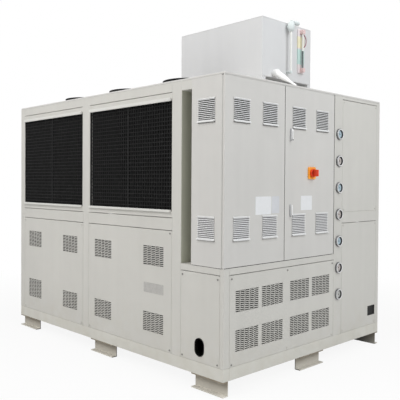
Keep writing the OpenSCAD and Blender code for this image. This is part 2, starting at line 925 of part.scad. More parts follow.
// The upright level tube on the tank's end, on one arm, up to the fill fitting
module sight_tube() {
    low = tank_z + arm_in;
    foot = low - 2 * arm_r;
    color("whitesmoke") at_front() {
        translate([tube_x, tube_y, foot]) cylinder(r = tube_r, h = fill_z - foot);
        bar_x([tank_end, tube_y, low], arm_r, tube_out);
    }
}

// A back plate on the tank's end with an upright glass between two end blocks
module level_gauge() {
    y = tank_mid + level_off;
    low = tank_z + level_up;
    color("whitesmoke") at_front() {
        block([tank_end, y - level_w / 2, low], [tank_end + level_t, y + level_w / 2, low + level_h]);
        for (z = [low + glass_r, low + level_h - 5 * glass_r])
            block([tank_end, y - 2 * glass_r, z],
                [tank_end + level_t + 4 * glass_r, y + 2 * glass_r, z + 4 * glass_r]);
        translate([tank_end + level_t + 2 * glass_r, y, low + 2 * glass_r])
            cylinder(r = glass_r, h = level_h - 4 * glass_r);
    }
}

// An upright body on the sight tube's top with a level inlet and an arm into the tank's end
module fill_fitting() {
    color("gainsboro") at_front() {
        translate([tube_x, tube_y, fill_z]) cylinder(r = fill_r, h = fill_h);
        translate([tube_x, tube_y, inlet_z]) rotate([-90, 0, 0]) cylinder(r = inlet_r, h = inlet_l);
        bar_x([tank_end, tube_y, fill_z + fill_h / 2], arm_r, tube_out);
    }
}

// A plastic pipe that leaves a collar on the tank's end, slopes down to the roof and narrows
module overflow_pipe() {
    color("white") at_front() translate([0, tank_mid - pipe_off, 0]) {
        bar_x([tank_end, 0, pipe_z], collar_r, collar_l);
        translate([pipe_x, 0, pipe_z]) rotate([0, 90 + pipe_slope, 0])
            cylinder(r1 = pipe_r, r2 = tip_r, h = pipe_drop / sin(pipe_slope));
    }
}

base_side_rails();
base_end_rails();
base_pan();
feet();
front_posts();
rear_posts();
front_rails();
rear_rails();
end_rails();
condenser_coils();
front_screens();
rear_screens();
screen_tracks();
front_panels();
cable_panel();
rear_panels();
far_end_panels();
end_lower_panel();
end_tall_panels();
gauge_strip();
front_vent_plates();
rear_vent_plates();
end_vent_plates();
coil_end_wall();
compartment_wall();
service_shelf();
cabinet_back();
cabinet_sides();
cabinet_floor();
cabinet_roof();
mounting_plate();
left_door();
right_door();
left_door_louvres();
right_door_louvres();
side_louvres();
door_pivots();
switch_plate();
switch_knob();
handle_plates();
upper_handle();
lower_handle();
pressure_gauges();
drain_grille();
roof_deck();
fan_drums();
fan_guards();
tank_stand();
tank_floor();
tank_sides();
tank_ends();
tank_lid();
sight_tube();
level_gauge();
fill_fitting();
overflow_pipe();
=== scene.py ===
import math

import bpy
from mathutils import Matrix, Vector


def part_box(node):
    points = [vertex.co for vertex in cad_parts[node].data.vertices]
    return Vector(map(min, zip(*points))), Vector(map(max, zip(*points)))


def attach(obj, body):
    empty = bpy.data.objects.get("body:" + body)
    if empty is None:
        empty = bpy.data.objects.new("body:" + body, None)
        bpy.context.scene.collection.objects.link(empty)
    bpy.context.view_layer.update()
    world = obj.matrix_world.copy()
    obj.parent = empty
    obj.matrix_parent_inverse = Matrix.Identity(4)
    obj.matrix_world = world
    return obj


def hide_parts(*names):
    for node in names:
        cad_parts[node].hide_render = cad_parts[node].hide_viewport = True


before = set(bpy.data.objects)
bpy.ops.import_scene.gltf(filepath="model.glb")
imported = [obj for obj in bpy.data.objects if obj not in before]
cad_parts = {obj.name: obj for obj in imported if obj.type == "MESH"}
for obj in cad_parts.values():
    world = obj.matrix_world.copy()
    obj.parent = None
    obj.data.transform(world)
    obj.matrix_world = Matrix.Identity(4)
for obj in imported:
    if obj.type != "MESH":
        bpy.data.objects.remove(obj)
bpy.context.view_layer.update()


# Base: two long and two short channel rails welded into a ring, a pan between them and eight folded
# channel feet. All are steel with a warm light grey powder coat, dusty near the ground.
HOUSING_GREY = (203, 201, 195)
BASE_GREY, DUST = (210, 208, 200), (186, 179, 164)
# The brown that darkens the feet towards the rails is painted shade, with some dirt.
FOOT_PALE, FOOT_SHADE_BROWN = (214, 210, 200), (138, 127, 110)
CUT_STEEL, UNDER_SHADE = (84, 78, 70), (32, 32, 28)
DUSTY_LOW, DUSTY_TOP = 0.1, 0.5
SIDE_FEET, NEAR_END = (0.70, 0.75), (1.29, 1.32)
# Where the painted shade inside the rear feet, under the machine, starts, ends and fades.
UNDER_SHADE_FROM, UNDER_SHADE_TO, UNDER_SHADE_FADE = (0.80, 0.85), (0.935, 0.955), (1.19, 1.33)
FOLD_RADIUS = 0.0025
WELD_GAP = 1e-5


class Shade:
    """A socket of a material's node tree. Arithmetic on it adds Math nodes."""

    def __init__(self, tree, socket=None):
        self.tree, self.socket = tree, socket

    def node(self, kind, settings=(), values=(), out=0):
        made = self.tree.nodes.new("ShaderNode" + kind)
        for name, value in dict(settings).items():
            setattr(made, name, value)
        for name, value in dict(values).items():
            if isinstance(value, Shade):
                self.tree.links.new(value.socket, made.inputs[name])
            else:
                made.inputs[name].default_value = value
        return Shade(self.tree, made.outputs[out])

    def math(self, operation, *values, clamp=False):
        return self.node("Math", {"operation": operation, "use_clamp": clamp}, enumerate(values))

    def mix(self, first, second):
        """The first colour where this value is 0, the second where it is 1."""
        return self.node("Mix", {"data_type": "RGBA"}, {0: self, 6: first, 7: second}, out=2)

    def noise(self, scale, detail=2.0):
        return self.node("TexNoise", values={"Vector": self, "Scale": scale, "Detail": detail})

    def stretched(self, x, y, z):
        return self.node("Mapping", values={"Vector": self, "Scale": (x, y, z)})

    def axis(self, name):
        return self.node("SeparateXYZ", values={0: self}, out=name)

    def bumps(self, strength, depth):
        return self.node("Bump", values={"Strength": strength, "Distance": depth, "Height": self},
                         out="Normal")

    def step(self, low, high):
        """0 at low, 1 at high and a straight ramp between."""
        return self.math("MULTIPLY", self - low, 1.0 / (high - low), clamp=True)

    def __add__(self, other):
        return self.math("ADD", self, other)

    def __sub__(self, other):
        return self.math("SUBTRACT", self, other)

    def __rsub__(self, other):
        return self.math("SUBTRACT", other, self)

    def __mul__(self, other):
        return self.math("MULTIPLY", self, other)

    __radd__ = __add__
    __rmul__ = __mul__


def linear(colour, gain=1.0):
    """A colour as a screen shows it, 0 to 255, in the shader's linear units."""
    return tuple(gain * ((part / 255 + 0.055) / 1.055) ** 2.4 for part in colour) + (1.0,)


def new_finish(name, **constants):
    """A new material, with the numbers that are the same all over it set on its shader."""
    made = bpy.data.materials.new(name)
    made.use_nodes = True
    shader = made.node_tree.nodes["Principled BSDF"]
    for socket, value in constants.items():
        shader.inputs[socket.replace("_", " ")].default_value = value
    return made, shader, Shade(made.node_tree).node("TexCoord", out="Object")


def feed(shader, **sockets):
    for name, value in sockets.items():
        value.tree.links.new(value.socket, shader.inputs[name.replace("_", " ")])


def painted_steel(name, colour, dust):
    """Powder coat: clouds and run marks, a fine orange peel and dust low down."""
    made, shader, spot = new_finish(name)
    clouds = spot.noise(1.7, 3.0)
    runs = spot.stretched(14, 14, 0.9).noise(1.0)
    blotches = spot.noise(11.0, 4.0)
    tone = clouds * 0.5 + runs * 0.3 + blotches * 0.2
    coat = tone.step(0.3, 0.7).mix(linear(colour, 0.955), linear(colour, 1.035))
    low = 1.0 - spot.axis("Z").step(DUSTY_LOW, DUSTY_TOP)
    specks = spot.noise(170.0)
    grime = low * blotches.step(0.35, 0.75) * dust + specks.step(0.66, 0.8) * 0.12 * dust
    feed(shader, Base_Color=grime.mix(coat, linear(DUST)),
         Roughness=0.40 + 0.12 * clouds + 0.25 * grime,
         Normal=spot.noise(420.0, 1.0).bumps(0.06, 0.0006))
    return made


def shaded_foot_steel(name):
    """The feet's coat: pale at the ground, brown above with dirt and painted shade, dark at cut ends,
    painted shade inside the rear feet.
    """
    made, shader, spot = new_finish(name)
    along, back, up = (spot.axis(axis) for axis in "XYZ")
    facing = Shade(made.node_tree).node("TexCoord", out="Normal")
    across, inwards = (facing.math("ABSOLUTE", facing.axis(axis)) for axis in "XY")
    blotches = spot.noise(11.0, 4.0)
    # Painted shade under the rails, with dirt blotches: the feet darken towards their tops.
    dirt_and_shade = (up.step(0.0, 0.1) + 0.25 * blotches).step(0.1, 1.15)
    side_foot = back.math("ABSOLUTE", back).step(*SIDE_FEET)
    cut = side_foot * across * (1.0 - along.step(*NEAR_END)) + (1.0 - side_foot) * inwards
    # Painted shade inside the rear feet, under the machine, fading towards the near end.
    under_shade = (back.step(*UNDER_SHADE_FROM) - back.step(*UNDER_SHADE_TO)) * (0.95 - 0.52 * along.step(*UNDER_SHADE_FADE))
    coat = cut.step(0.4, 0.8).mix(dirt_and_shade.mix(linear(FOOT_PALE), linear(FOOT_SHADE_BROWN)), linear(CUT_STEEL))
    feed(shader, Base_Color=under_shade.mix(coat, linear(UNDER_SHADE)),
         Roughness=0.5 + 0.3 * dirt_and_shade,
         Normal=spot.noise(420.0, 1.0).bumps(0.06, 0.0006))
    return made


def dress(finish, *names, fold=FOLD_RADIUS):
    """Gives solids of the frame a finish, and their sharp sheet edges a small fold radius."""
    for name in names:
        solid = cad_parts[name]
        for holder in solid.material_slots:
            holder.material = finish
        solid.modifiers.new("weld", "WELD").merge_threshold = WELD_GAP
        edge = solid.modifiers.new("fold", "BEVEL")
        edge.width, edge.segments = fold, 2
        edge.limit_method, edge.angle_limit = "ANGLE", math.radians(40)


housing_coat = painted_steel("housing_powder_coat", HOUSING_GREY, 0.4)
dress(painted_steel("base_powder_coat", BASE_GREY, 0.35), "base_side_rails", "base_end_rails", "base_pan")
dress(shaded_foot_steel("foot_coat_dirt_and_shade"), "feet")


# Frame: folded posts and rails, screwed and welded on the base. The rails fill the front and rear between
# the posts, above and below the coil openings. Same powder coat as the base.
dress(housing_coat, "front_posts", "rear_posts", "front_rails", "rear_rails", "end_rails")


# Condenser coils: blocks of thin black-coated aluminium fins, pressed on tubes and set on edge behind the
# screens. The fins are upright, a few millimetres apart, with some combed flat.
FIN_BLACK = (6, 6, 6)
FIN_EDGE = (15, 15, 15)
FIN_PITCH = 0.0042


def black_fins(name):
    made, shader, spot = new_finish(name, Specular_IOR_Level=0.15)
    phase = spot.axis("X") * (2 * math.pi / FIN_PITCH)
    ridge = phase.math("SINE", phase) * 0.5 + 0.5
    combed = spot.stretched(9, 9, 3).noise(1.0, 3.0)
    feed(shader, Base_Color=(ridge * combed.step(0.3, 0.8)).mix(linear(FIN_BLACK), linear(FIN_EDGE)),
         Roughness=0.55 + 0.25 * combed,
         Normal=ridge.bumps(0.5, 0.001))
    return made


coil_fins = black_fins("coil_fins")
dress(coil_fins, "condenser_coils")


# Coil screens: black wire mesh welded into a flat border, two leaves to a bay, on the front and the rear.
# They keep leaves and hands off the fins.
LEAVES = ((0.075, 0.5755), (0.5795, 1.080), (1.190, 1.7005), (1.7045, 2.215))
SCREEN_LOW, SCREEN_TOP = 1.085, 1.870
SCREEN_IN, SCREEN_T, SCREEN_BORDER = 0.003, 0.015, 0.007
MESH_PITCH, WIRE_T, WIRE_IN = 0.0287, 0.0095, 0.0005
WIRE_DARK, WIRE_WORN = (36, 36, 36), (52, 52, 52)
corner = Vector(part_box("base_side_rails")[0])
housing_l, housing_w = (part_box("roof_deck")[1][k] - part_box("roof_deck")[0][k] for k in (0, 1))


def place(along, back, up):
    """A point by its distance from the far end, the front face and the base's underside."""
    return corner + Vector((along, back, up))


def begin(add, name, size=(1, 1, 1), **start):
    """Adds one primitive with nothing else selected, its size and place in its mesh."""
    bpy.ops.object.select_all(action="DESELECT")
    add(**start)
    piece = bpy.context.object
    piece.name = piece.data.name = name
    piece.scale = size
    bpy.ops.object.transform_apply(location=True, rotation=True, scale=True)
    return piece


def rod(name, sides, radius, length, middle, axis="z", **more):
    """A cylinder along an axis."""
    turn = {"x": (0, math.pi / 2, 0), "y": (math.pi / 2, 0, 0), "z": (0, 0, 0)}[axis]
    return begin(bpy.ops.mesh.primitive_cylinder_add, name, vertices=sides, radius=radius, depth=length,
                 location=middle, rotation=turn, **more)


def slab(name, low, high):
    """A block between two corners."""
    low, high = Vector(low), Vector(high)
    return begin(bpy.ops.mesh.primitive_cube_add, name, (high - low) / 2, location=(low + high) / 2)


def pick(piece, kind, test=lambda *at: True):
    """Selects the faces, edges or points that pass a test, or all, and leaves the piece in edit mode."""
    bpy.ops.object.mode_set(mode="EDIT")
    bpy.ops.mesh.select_mode(type=kind)
    bpy.ops.mesh.select_all(action="DESELECT")
    bpy.ops.object.mode_set(mode="OBJECT")
    mesh = piece.data
    if kind == "FACE":
        for face in mesh.polygons:
            face.select = bool(test(face.center, face.normal))
    elif kind == "EDGE":
        for edge in mesh.edges:
            a, b = (mesh.vertices[k].co for k in edge.vertices)
            edge.select = bool(test((a + b) / 2, (b - a).normalized()))
    else:
        for point in mesh.vertices:
            point.select = bool(test(point.co))
    bpy.ops.object.mode_set(mode="EDIT")


def push(x, y, z):
    """Extrudes what is selected and moves it."""
    bpy.ops.mesh.extrude_region_move(TRANSFORM_OT_translate={"value": (x, y, z)})


def move(x, y, z):
    bpy.ops.transform.translate(value=(x, y, z))


def resize(share, centre):
    bpy.ops.transform.resize(value=share, center_override=centre)


def inset(rim, rise=0.0):
    bpy.ops.mesh.inset(thickness=rim, depth=rise)


def leave():
    bpy.ops.object.mode_set(mode="OBJECT")


def round_edges(piece, test, radius, segments):
    """Rounds the edges that pass a test."""
    pick(piece, "EDGE", test)
    bpy.ops.mesh.bevel(offset=radius, segments=segments)
    leave()


def round_corners(piece, axis, radius, segments):
    """Rounds the edges that run along an axis."""
    round_edges(piece, lambda c, d: abs(getattr(d, axis)) > 0.9, radius, segments)


def dish(piece, way, *steps):
    """Steps the faces that look one way: each step is an inset, its rise and then an upright rise."""
    out = Vector([(way[0] == "+") - (way[0] == "-") if axis == way[1] else 0 for axis in "xyz"])
    pick(piece, "FACE", lambda c, n: n.dot(out) > 0.9)
    for rim, *rises in steps:
        inset(rim, *rises[:1])
        if rises[1:]:
            push(*(out * rises[1]))
    leave()


def shape(piece, kind, **settings):
    """Adds one modifier and applies it."""
    made = piece.modifiers.new(kind.lower(), kind)
    for name, value in settings.items():
        setattr(made, name, value)
    bpy.context.view_layer.objects.active = piece
    bpy.ops.object.modifier_apply(modifier=made.name)


def soften(piece, width, segments=2):
    """Rounds every sharp edge of a piece."""
    shape(piece, "BEVEL", width=width, segments=segments, limit_method="ANGLE")


def repeat(piece, count, step, **more):
    """A row of copies in the piece's own mesh."""
    shape(piece, "ARRAY", count=count, use_relative_offset=False, use_constant_offset=True,
          constant_offset_displace=step, **more)


def join(piece, *others):
    """Makes one piece of several."""
    bpy.ops.object.select_all(action="DESELECT")
    for each in (piece, *others):
        each.select_set(True)
    bpy.context.view_layer.objects.active = piece
    bpy.ops.object.join()
    return piece


def twin(piece, matrix, name=None):
    """A copy with its own mesh, moved."""
    made = piece.copy()
    made.data = piece.data.copy()
    made.data.transform(matrix)
    if name:
        made.name = made.data.name = name
    bpy.context.collection.objects.link(made)
    return made


def spread(piece, moves):
    """Puts a copy at every place and makes one piece of them."""
    others = [twin(piece, matrix) for matrix in moves[1:]]
    piece.data.transform(moves[0])
    return join(piece, *others)


def shift(point, turn=0.0):
    """A move to a point, after a turn about the upright axis."""
    return Matrix.Translation(point) @ Matrix.Rotation(math.radians(turn), 4, "Z")


def on_side(side, spots, out=0.0):
    """Moves of what faces the front to spots on a side, given by their distance along it and height."""
    where = {"front": lambda along: (along, -out), "end": lambda along: (housing_l + out, along),
             "rear": lambda along: (along, housing_w + out), "far": lambda along: (-out, along)}[side]
    turn = {"front": 0, "end": 90, "rear": 180, "far": -90}[side]
    return [shift(place(*where(along), up), turn) for along, up in spots]


def coat(piece, *finishes):
    """Gives a piece its materials, the first of them all over."""
    for finish in finishes:
        piece.data.materials.append(finish)
    return piece


def tint(piece, number, test):
    """Gives the faces that pass a test another of the piece's materials."""
    for face in piece.data.polygons:
        if test(face.center, face.normal):
            face.material_index = number


def settle(piece, body, replaced=(), smooth=35):
    """Shades a finished piece and says what carries it."""
    bpy.ops.object.select_all(action="DESELECT")
    piece.select_set(True)
    bpy.context.view_layer.objects.active = piece
    bpy.ops.object.shade_smooth_by_angle(angle=math.radians(smooth))
    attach(piece, body)
    if replaced:
        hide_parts(*replaced)


def worn_black(name, dark, worn, rough, gloss=0.5):
    """Black paint, rubbed greyer in small patches."""
    made, shader, spot = new_finish(name, Specular_IOR_Level=gloss)
    rubbed = spot.noise(38.0, 4.0)
    feed(shader, Base_Color=rubbed.step(0.35, 0.75).mix(linear(dark), linear(worn)),
         Roughness=rough + 0.2 * rubbed,
         Normal=spot.noise(500.0, 1.0).bumps(0.08, 0.0004))
    return made


def screen_leaf(start, end):
    """One leaf at the front: a border with a wire grid in it."""
    low, high = place(start, SCREEN_IN, SCREEN_LOW), place(end, SCREEN_IN + SCREEN_T, SCREEN_TOP)
    border = slab("front_screen_mesh", low, high)
    pick(border, "FACE", lambda c, n: abs(n.y) > 0.9)
    inset(SCREEN_BORDER)
    bpy.ops.mesh.bridge_edge_loops()
    leave()
    soften(border, 0.002, 1)
    wide, tall = high.x - low.x - SCREEN_BORDER, high.z - low.z - SCREEN_BORDER
    grid = begin(bpy.ops.mesh.primitive_grid_add, "screen_wires", (wide / 2, tall / 2, 1),
                 x_subdivisions=round(wide / MESH_PITCH), y_subdivisions=round(tall / MESH_PITCH),
                 rotation=(math.pi / 2, 0, 0),
                 location=((low.x + high.x) / 2, low.y + WIRE_T / 2 + WIRE_IN, (low.z + high.z) / 2))
    shape(grid, "WIREFRAME", thickness=WIRE_T, use_even_offset=False)
    return coat(join(border, grid), screen_black)


screen_black = worn_black("screen_black", WIRE_DARK, WIRE_WORN, 0.6, 0.15)
front_screens = join(*[screen_leaf(start, end) for start, end in LEAVES])
centre = place(housing_l / 2, housing_w / 2, 0)
to_rear = Matrix.Translation(centre) @ Matrix.Diagonal((1, -1, 1, 1)) @ Matrix.Translation(-centre)
rear_screens = twin(front_screens, to_rear, "rear_screen_mesh")
rear_screens.data.flip_normals()
settle(front_screens, "housing", ["front_screens"])
settle(rear_screens, "housing", ["rear_screens"])


# Screen tracks: pale channels over the screens' upper and lower edges, which hold the leaves in the
# opening. Folded steel in a lighter powder coat than the housing's.
TRACK_GREY = (214, 213, 208)
dress(painted_steel("track_powder_coat", TRACK_GREY, 0.3), "screen_tracks", fold=0.003)


# Panels: pressed steel sheets with folded edges, hung between the posts with a narrow gap all round.
# They have the frame's powder coat and are screwed on near their corners.
dress(housing_coat, "front_panels", "cable_panel", "rear_panels", "far_end_panels", "end_lower_panel",
      "end_tall_panels", "gauge_strip")


# Panel seals: grey foam strips pressed into the gaps beside and below the panels, just under the surface.
# The gap above each panel stays open.
SEAM, SEAL_UNDER, FOOT_SEAL_UNDER, SEAL_DEEP = 0.004, 0.0009, 0.0003, 0.010
NEAR_SEAL_UNDER = 0.0017
SEAL_GREY = (200, 198, 191)
FRONT_PANELS = ((0.079, 1.090, 0.087, 0.947), (1.180, 2.218, 0.087, 0.947), (2.319, 2.689, 0.087, 0.684))
END_PANELS = ((0.059, 1.252, 0.087, 0.684), (1.371, 1.900, 0.087, 0.970), (1.371, 1.900, 1.062, 1.958))
REAR_PANELS = FRONT_PANELS[:2] + ((2.319, 2.689, 0.087, 0.947), (2.319, 2.689, 1.042, 1.917))
FAR_PANELS = ((0.059, 0.973, 0.087, 0.947), (0.977, 1.891, 0.087, 0.947),
              (0.059, 0.973, 1.042, 1.917), (0.977, 1.891, 1.042, 1.917))


def seals(outlines, near_under=SEAL_UNDER):
    """Strips at the sides and foot of each panel, in the plane y = 0, facing the front."""
    strips, done = [], set()
    for left, right, low, high in outlines:
        for start, end, foot, head, under in ((left - SEAM, left, low, high - 0.002, SEAL_UNDER),
                                              (right, right + SEAM, low, high - 0.002, near_under),
                                              (left, right, low - SEAM, low, FOOT_SEAL_UNDER)):
            spot = (round(start, 4), foot)
            if spot in done:
                continue
            done.add(spot)
            foam = slab("panel_seals", (start, under, foot), (end, SEAL_DEEP, head))
            round_edges(foam, lambda c, d: c.y < under * 1.1 and abs(d.y) < 0.1, 0.0004, 1)
            strips.append(foam)
    return join(*strips)


def mirrored(outlines, width):
    """The same outlines as seen from the other side."""
    return [(width - right, width - left, low, high) for left, right, low, high in outlines]


panel_seals = join(*[spread(made, on_side(side, [(start, 0)])) for made, side, start in (
    (seals(FRONT_PANELS, NEAR_SEAL_UNDER), "front", 0), (seals(END_PANELS), "end", 0),
    (seals(mirrored(REAR_PANELS, housing_l)), "rear", housing_l),
    (seals(mirrored(FAR_PANELS, housing_w)), "far", housing_w))])
coat(panel_seals, painted_steel("seal_foam", SEAL_GREY, 0.4))
settle(panel_seals, "housing")


# Vents: fields of short punched slots in the lower panels, five columns of eleven, every other column
# half a slot lower. The lower far one is taller. The metal round them is the panel's own painted sheet.
VENT_W, VENT_H, TALL_VENT_H = 0.232, 0.145, 0.171
SLOT_COLUMNS, SLOT_ROWS, TALL_ROWS = 5, 11, 13
SLOT_L, SLOT_H, SLOT_END, SLOT_DEEP = 0.0442, 0.0081, 0.3, 0.0026
VENT_RIM, VENT_PROUD = 0.003, 0.0004
SLOT_DARK, SLOT_LINT = (14, 14, 13), (26, 25, 24)
VENT_COLUMNS = (0.281, 0.888, 1.382, 2.016)
VENT_LOW, VENT_HIGH, TALL_VENT_Z = 0.268, 0.755, 0.290
END_VENT_COLUMNS = (0.2295, 0.4975, 0.8135, 1.0815)
END_VENT_LEVELS = (0.249, 0.509)


def slotted_field(name, rows, height):
    """One field of slots, facing the front, with its middle at the origin."""
    wide, tall = VENT_W / SLOT_COLUMNS, height / rows
    field = begin(bpy.ops.mesh.primitive_circle_add, name, vertices=12, radius=SLOT_H / 2, fill_type="NGON",
                  rotation=(math.pi / 2, 0, 0))
    bpy.ops.object.mode_set(mode="EDIT")
    bpy.ops.mesh.select_all(action="SELECT")
    bpy.ops.transform.rotate(value=math.radians(15), orient_axis="Y", center_override=(0, 0, 0))
    for side in (-1, 1):
        pick(field, "VERT", lambda p: p.x * side > 0)
        resize((SLOT_END, 1, 1), (0, 0, 0))
        move(side * (SLOT_L - SLOT_H * SLOT_END) / 2, 0, 0)
    pick(field, "FACE")
    inset(0.0001)
    leave()
    hole = {p for face in field.data.polygons if len(face.vertices) > 4 for p in face.vertices}
    rim = [k for k in range(len(field.data.vertices)) if k not in hole]

    def spot(point):
        return tuple(round(part, 6) for part in point)
    for axis, reach, edge in ((0, SLOT_L / 2 - SLOT_H * 0.05, wide / 2), (2, 0, tall / 2)):
        for side in (-1, 1):
            outer = {spot(field.data.vertices[k].co) for k in rim}
            pick(field, "VERT", lambda p: spot(p) in outer and p[axis] * side > reach)
            flat, centre = [1, 1, 1], [0, 0, 0]
            flat[axis], centre[axis] = 0, side * edge
            resize(flat, centre)
            leave()
    pick(field, "FACE", lambda c, n: c.length < 1e-5)
    push(0, SLOT_DEEP, 0)
    leave()
    coat(field, housing_coat, slot_shadow)
    tint(field, 1, lambda c, n: c.y > SLOT_DEEP * 0.9)
    halves = [twin(field, Matrix.Translation((wide, 0, level)) @ Matrix.Diagonal((1, 1, 0.5, 1)))
              for level in (-tall / 4, tall * (rows - 0.75))]
    lowered = twin(field, Matrix.Translation((wide, 0, tall / 2)))
    for column, count in ((field, rows), (lowered, rows - 1)):
        repeat(column, count, (0, 0, tall), use_merge_vertices=True, merge_threshold=WELD_GAP)
    last = twin(field, Matrix.Translation((VENT_W - wide, 0, 0)))
    join(field, lowered, *halves)
    repeat(field, SLOT_COLUMNS // 2, (wide * 2, 0, 0))
    join(field, last)
    shape(field, "WELD", merge_threshold=WELD_GAP)
    field.data.transform(Matrix.Translation((wide / 2 - VENT_W / 2, 0, tall / 2 - height / 2)))
    for side in (-1, 1):
        pick(field, "VERT", lambda p: p.x * side > VENT_W / 2 - 1e-4)
        move(side * VENT_RIM, 0, 0)
        pick(field, "VERT", lambda p: p.z * side > height / 2 - 1e-4)
        move(0, 0, side * VENT_RIM)
    leave()
    return field


slot_shadow = worn_black("slot_shadow", SLOT_DARK, SLOT_LINT, 0.7, 0.1)
end_vents = slotted_field("end_vents", SLOT_ROWS, VENT_H)
side_spots = [(x, z) for x in VENT_COLUMNS for z in (VENT_LOW, VENT_HIGH)][1:]
front_vents = slotted_field("front_vents", TALL_ROWS, TALL_VENT_H)
rear_vents = twin(front_vents, Matrix(), "rear_vents")
for vents, side, node in ((front_vents, "front", "front_vent_plates"),
                          (rear_vents, "rear", "rear_vent_plates")):
    spread(vents, on_side(side, [(VENT_COLUMNS[0], TALL_VENT_Z)], VENT_PROUD))
    join(vents, *[twin(end_vents, matrix) for matrix in on_side(side, side_spots, VENT_PROUD)])
    settle(vents, "housing", [node])
end_spots = [(y, z) for y in END_VENT_COLUMNS for z in END_VENT_LEVELS]
spread(end_vents, on_side("end", end_spots, VENT_PROUD))
settle(end_vents, "housing", ["end_vent_plates"])


# Panel screws: round heads with a hexagon socket near the corners of every screwed panel. Those that are
# undone for service are bare zinc-plated steel, the others have the housing's paint on them.
SCREW_R, SCREW_H, SOCKET_R = 0.0066, 0.0032, 0.0034
FRONT_SCREWS = [(x, z) for x, top in ((2.202, 0.928), (2.335, 0.659), (2.673, 0.659)) for z in (0.103, top)]
FRONT_PAINTED = [(x, z) for x in (0.095, 1.074, 1.196) for z in (0.103, 0.928)]
END_SCREWS = [(0.076, 0.101), (0.076, 0.663), (0.665, 0.663), (1.234, 0.663)]
END_PAINTED = [(0.665, 0.101), (1.234, 0.101)]
END_PAINTED += [(y, z) for y in (1.388, 1.884) for z in (0.104, 0.952, 1.080, 1.940)]
REAR_SCREWS = [(x, z) for left, right in ((0.079, 1.090), (1.180, 2.218), (2.319, 2.689))
               for x in (left + 0.016, right - 0.016) for z in (0.103, 0.928)]
REAR_SCREWS += [(x, z) for x in (2.335, 2.673) for z in (1.060, 1.899)]
FAR_SCREWS = [(y, z) for y in (0.076, 0.957, 0.993, 1.875) for z in (0.104, 0.930, 1.060, 1.899)]


def plated_metal(name, colour, rough, mottle):
    """Bright metal, with soft clouds in its gloss and fine rub marks."""
    made, shader, spot = new_finish(name, Metallic=1.0)
    clouds = spot.noise(55.0, 3.0)
    rubs = spot.stretched(260, 260, 30).noise(1.0)
    feed(shader, Base_Color=clouds.mix(linear(colour, 1.0 - mottle), linear(colour, 1.0 + mottle)),
         Roughness=rough + 0.18 * clouds + 0.06 * rubs,
         Normal=rubs.bumps(0.04, 0.0003))
    return made


zinc_plate = plated_metal("zinc_plate", (200, 200, 197), 0.28, 0.12)
screw_steel = plated_metal("screw_steel", (158, 157, 153), 0.4, 0.12)
screws = rod("panel_screws", 12, SCREW_R, SCREW_H, (0, -SCREW_H / 2, 0), "y")
dish(screws, "-y", (SCREW_R * 0.25, SCREW_H * 0.2), (SCREW_R * 0.75 - SOCKET_R, 0, -SCREW_H * 0.6))
painted_screws = coat(twin(screws, Matrix(), "painted_screws"), housing_coat)
coat(screws, screw_steel, slot_shadow)
tint(screws, 1, lambda c, n: n.y < -0.9 and c.xz.length < SOCKET_R * 0.5)
spread(screws, on_side("front", FRONT_SCREWS) + on_side("end", END_SCREWS))
spread(painted_screws, on_side("front", FRONT_PAINTED) + on_side("end", END_PAINTED)
       + on_side("rear", REAR_SCREWS) + on_side("far", FAR_SCREWS))
settle(screws, "housing")
settle(painted_screws, "housing")


# Rating plate: a bare brushed aluminium foil plate on the lower front panel, with a raised field, held by
# four rivets.
PLATE_LEFT, PLATE_RIGHT, PLATE_LOW, PLATE_TOP, FOIL_T = 1.909, 2.132, 0.481, 0.554, 0.0008
FOIL_DARK, FOIL_BRIGHT = (168, 166, 162), (190, 188, 184)
RIVET_R, RIVET_IN = 0.003, 0.008


def brushed_foil(name):
    made, shader, spot = new_finish(name, Metallic=0.35)
    lines = spot.stretched(4, 4, 900).noise(1.0)
    stains = spot.noise(60.0, 4.0)
    shine = (lines * 0.5 + stains * 0.5).step(0.3, 0.7)
    feed(shader, Base_Color=shine.mix(linear(FOIL_DARK), linear(FOIL_BRIGHT)),
         Roughness=0.42 + 0.15 * lines, Normal=lines.bumps(0.05, 0.0003))
    return made


foil_plate = slab("rating_plate", place(PLATE_LEFT, -FOIL_T, PLATE_LOW), place(PLATE_RIGHT, 0, PLATE_TOP))
round_corners(foil_plate, "y", 0.005, 3)
dish(foil_plate, "-y", (0.004, 0.0003))
rivets = begin(bpy.ops.mesh.primitive_uv_sphere_add, "rivet", (1, 0.4, 1), segments=12, ring_count=6,
               radius=RIVET_R)
pick(rivets, "VERT", lambda p: p.y > 0.0002)
bpy.ops.mesh.delete(type="VERT")
leave()
spread(rivets, on_side("front", [(x, z) for x in (PLATE_LEFT + RIVET_IN, PLATE_RIGHT - RIVET_IN)
                                 for z in (PLATE_LOW + RIVET_IN, PLATE_TOP - RIVET_IN)], FOIL_T))
coat(join(foil_plate, rivets), brushed_foil("brushed_foil"))
settle(foil_plate, "housing")


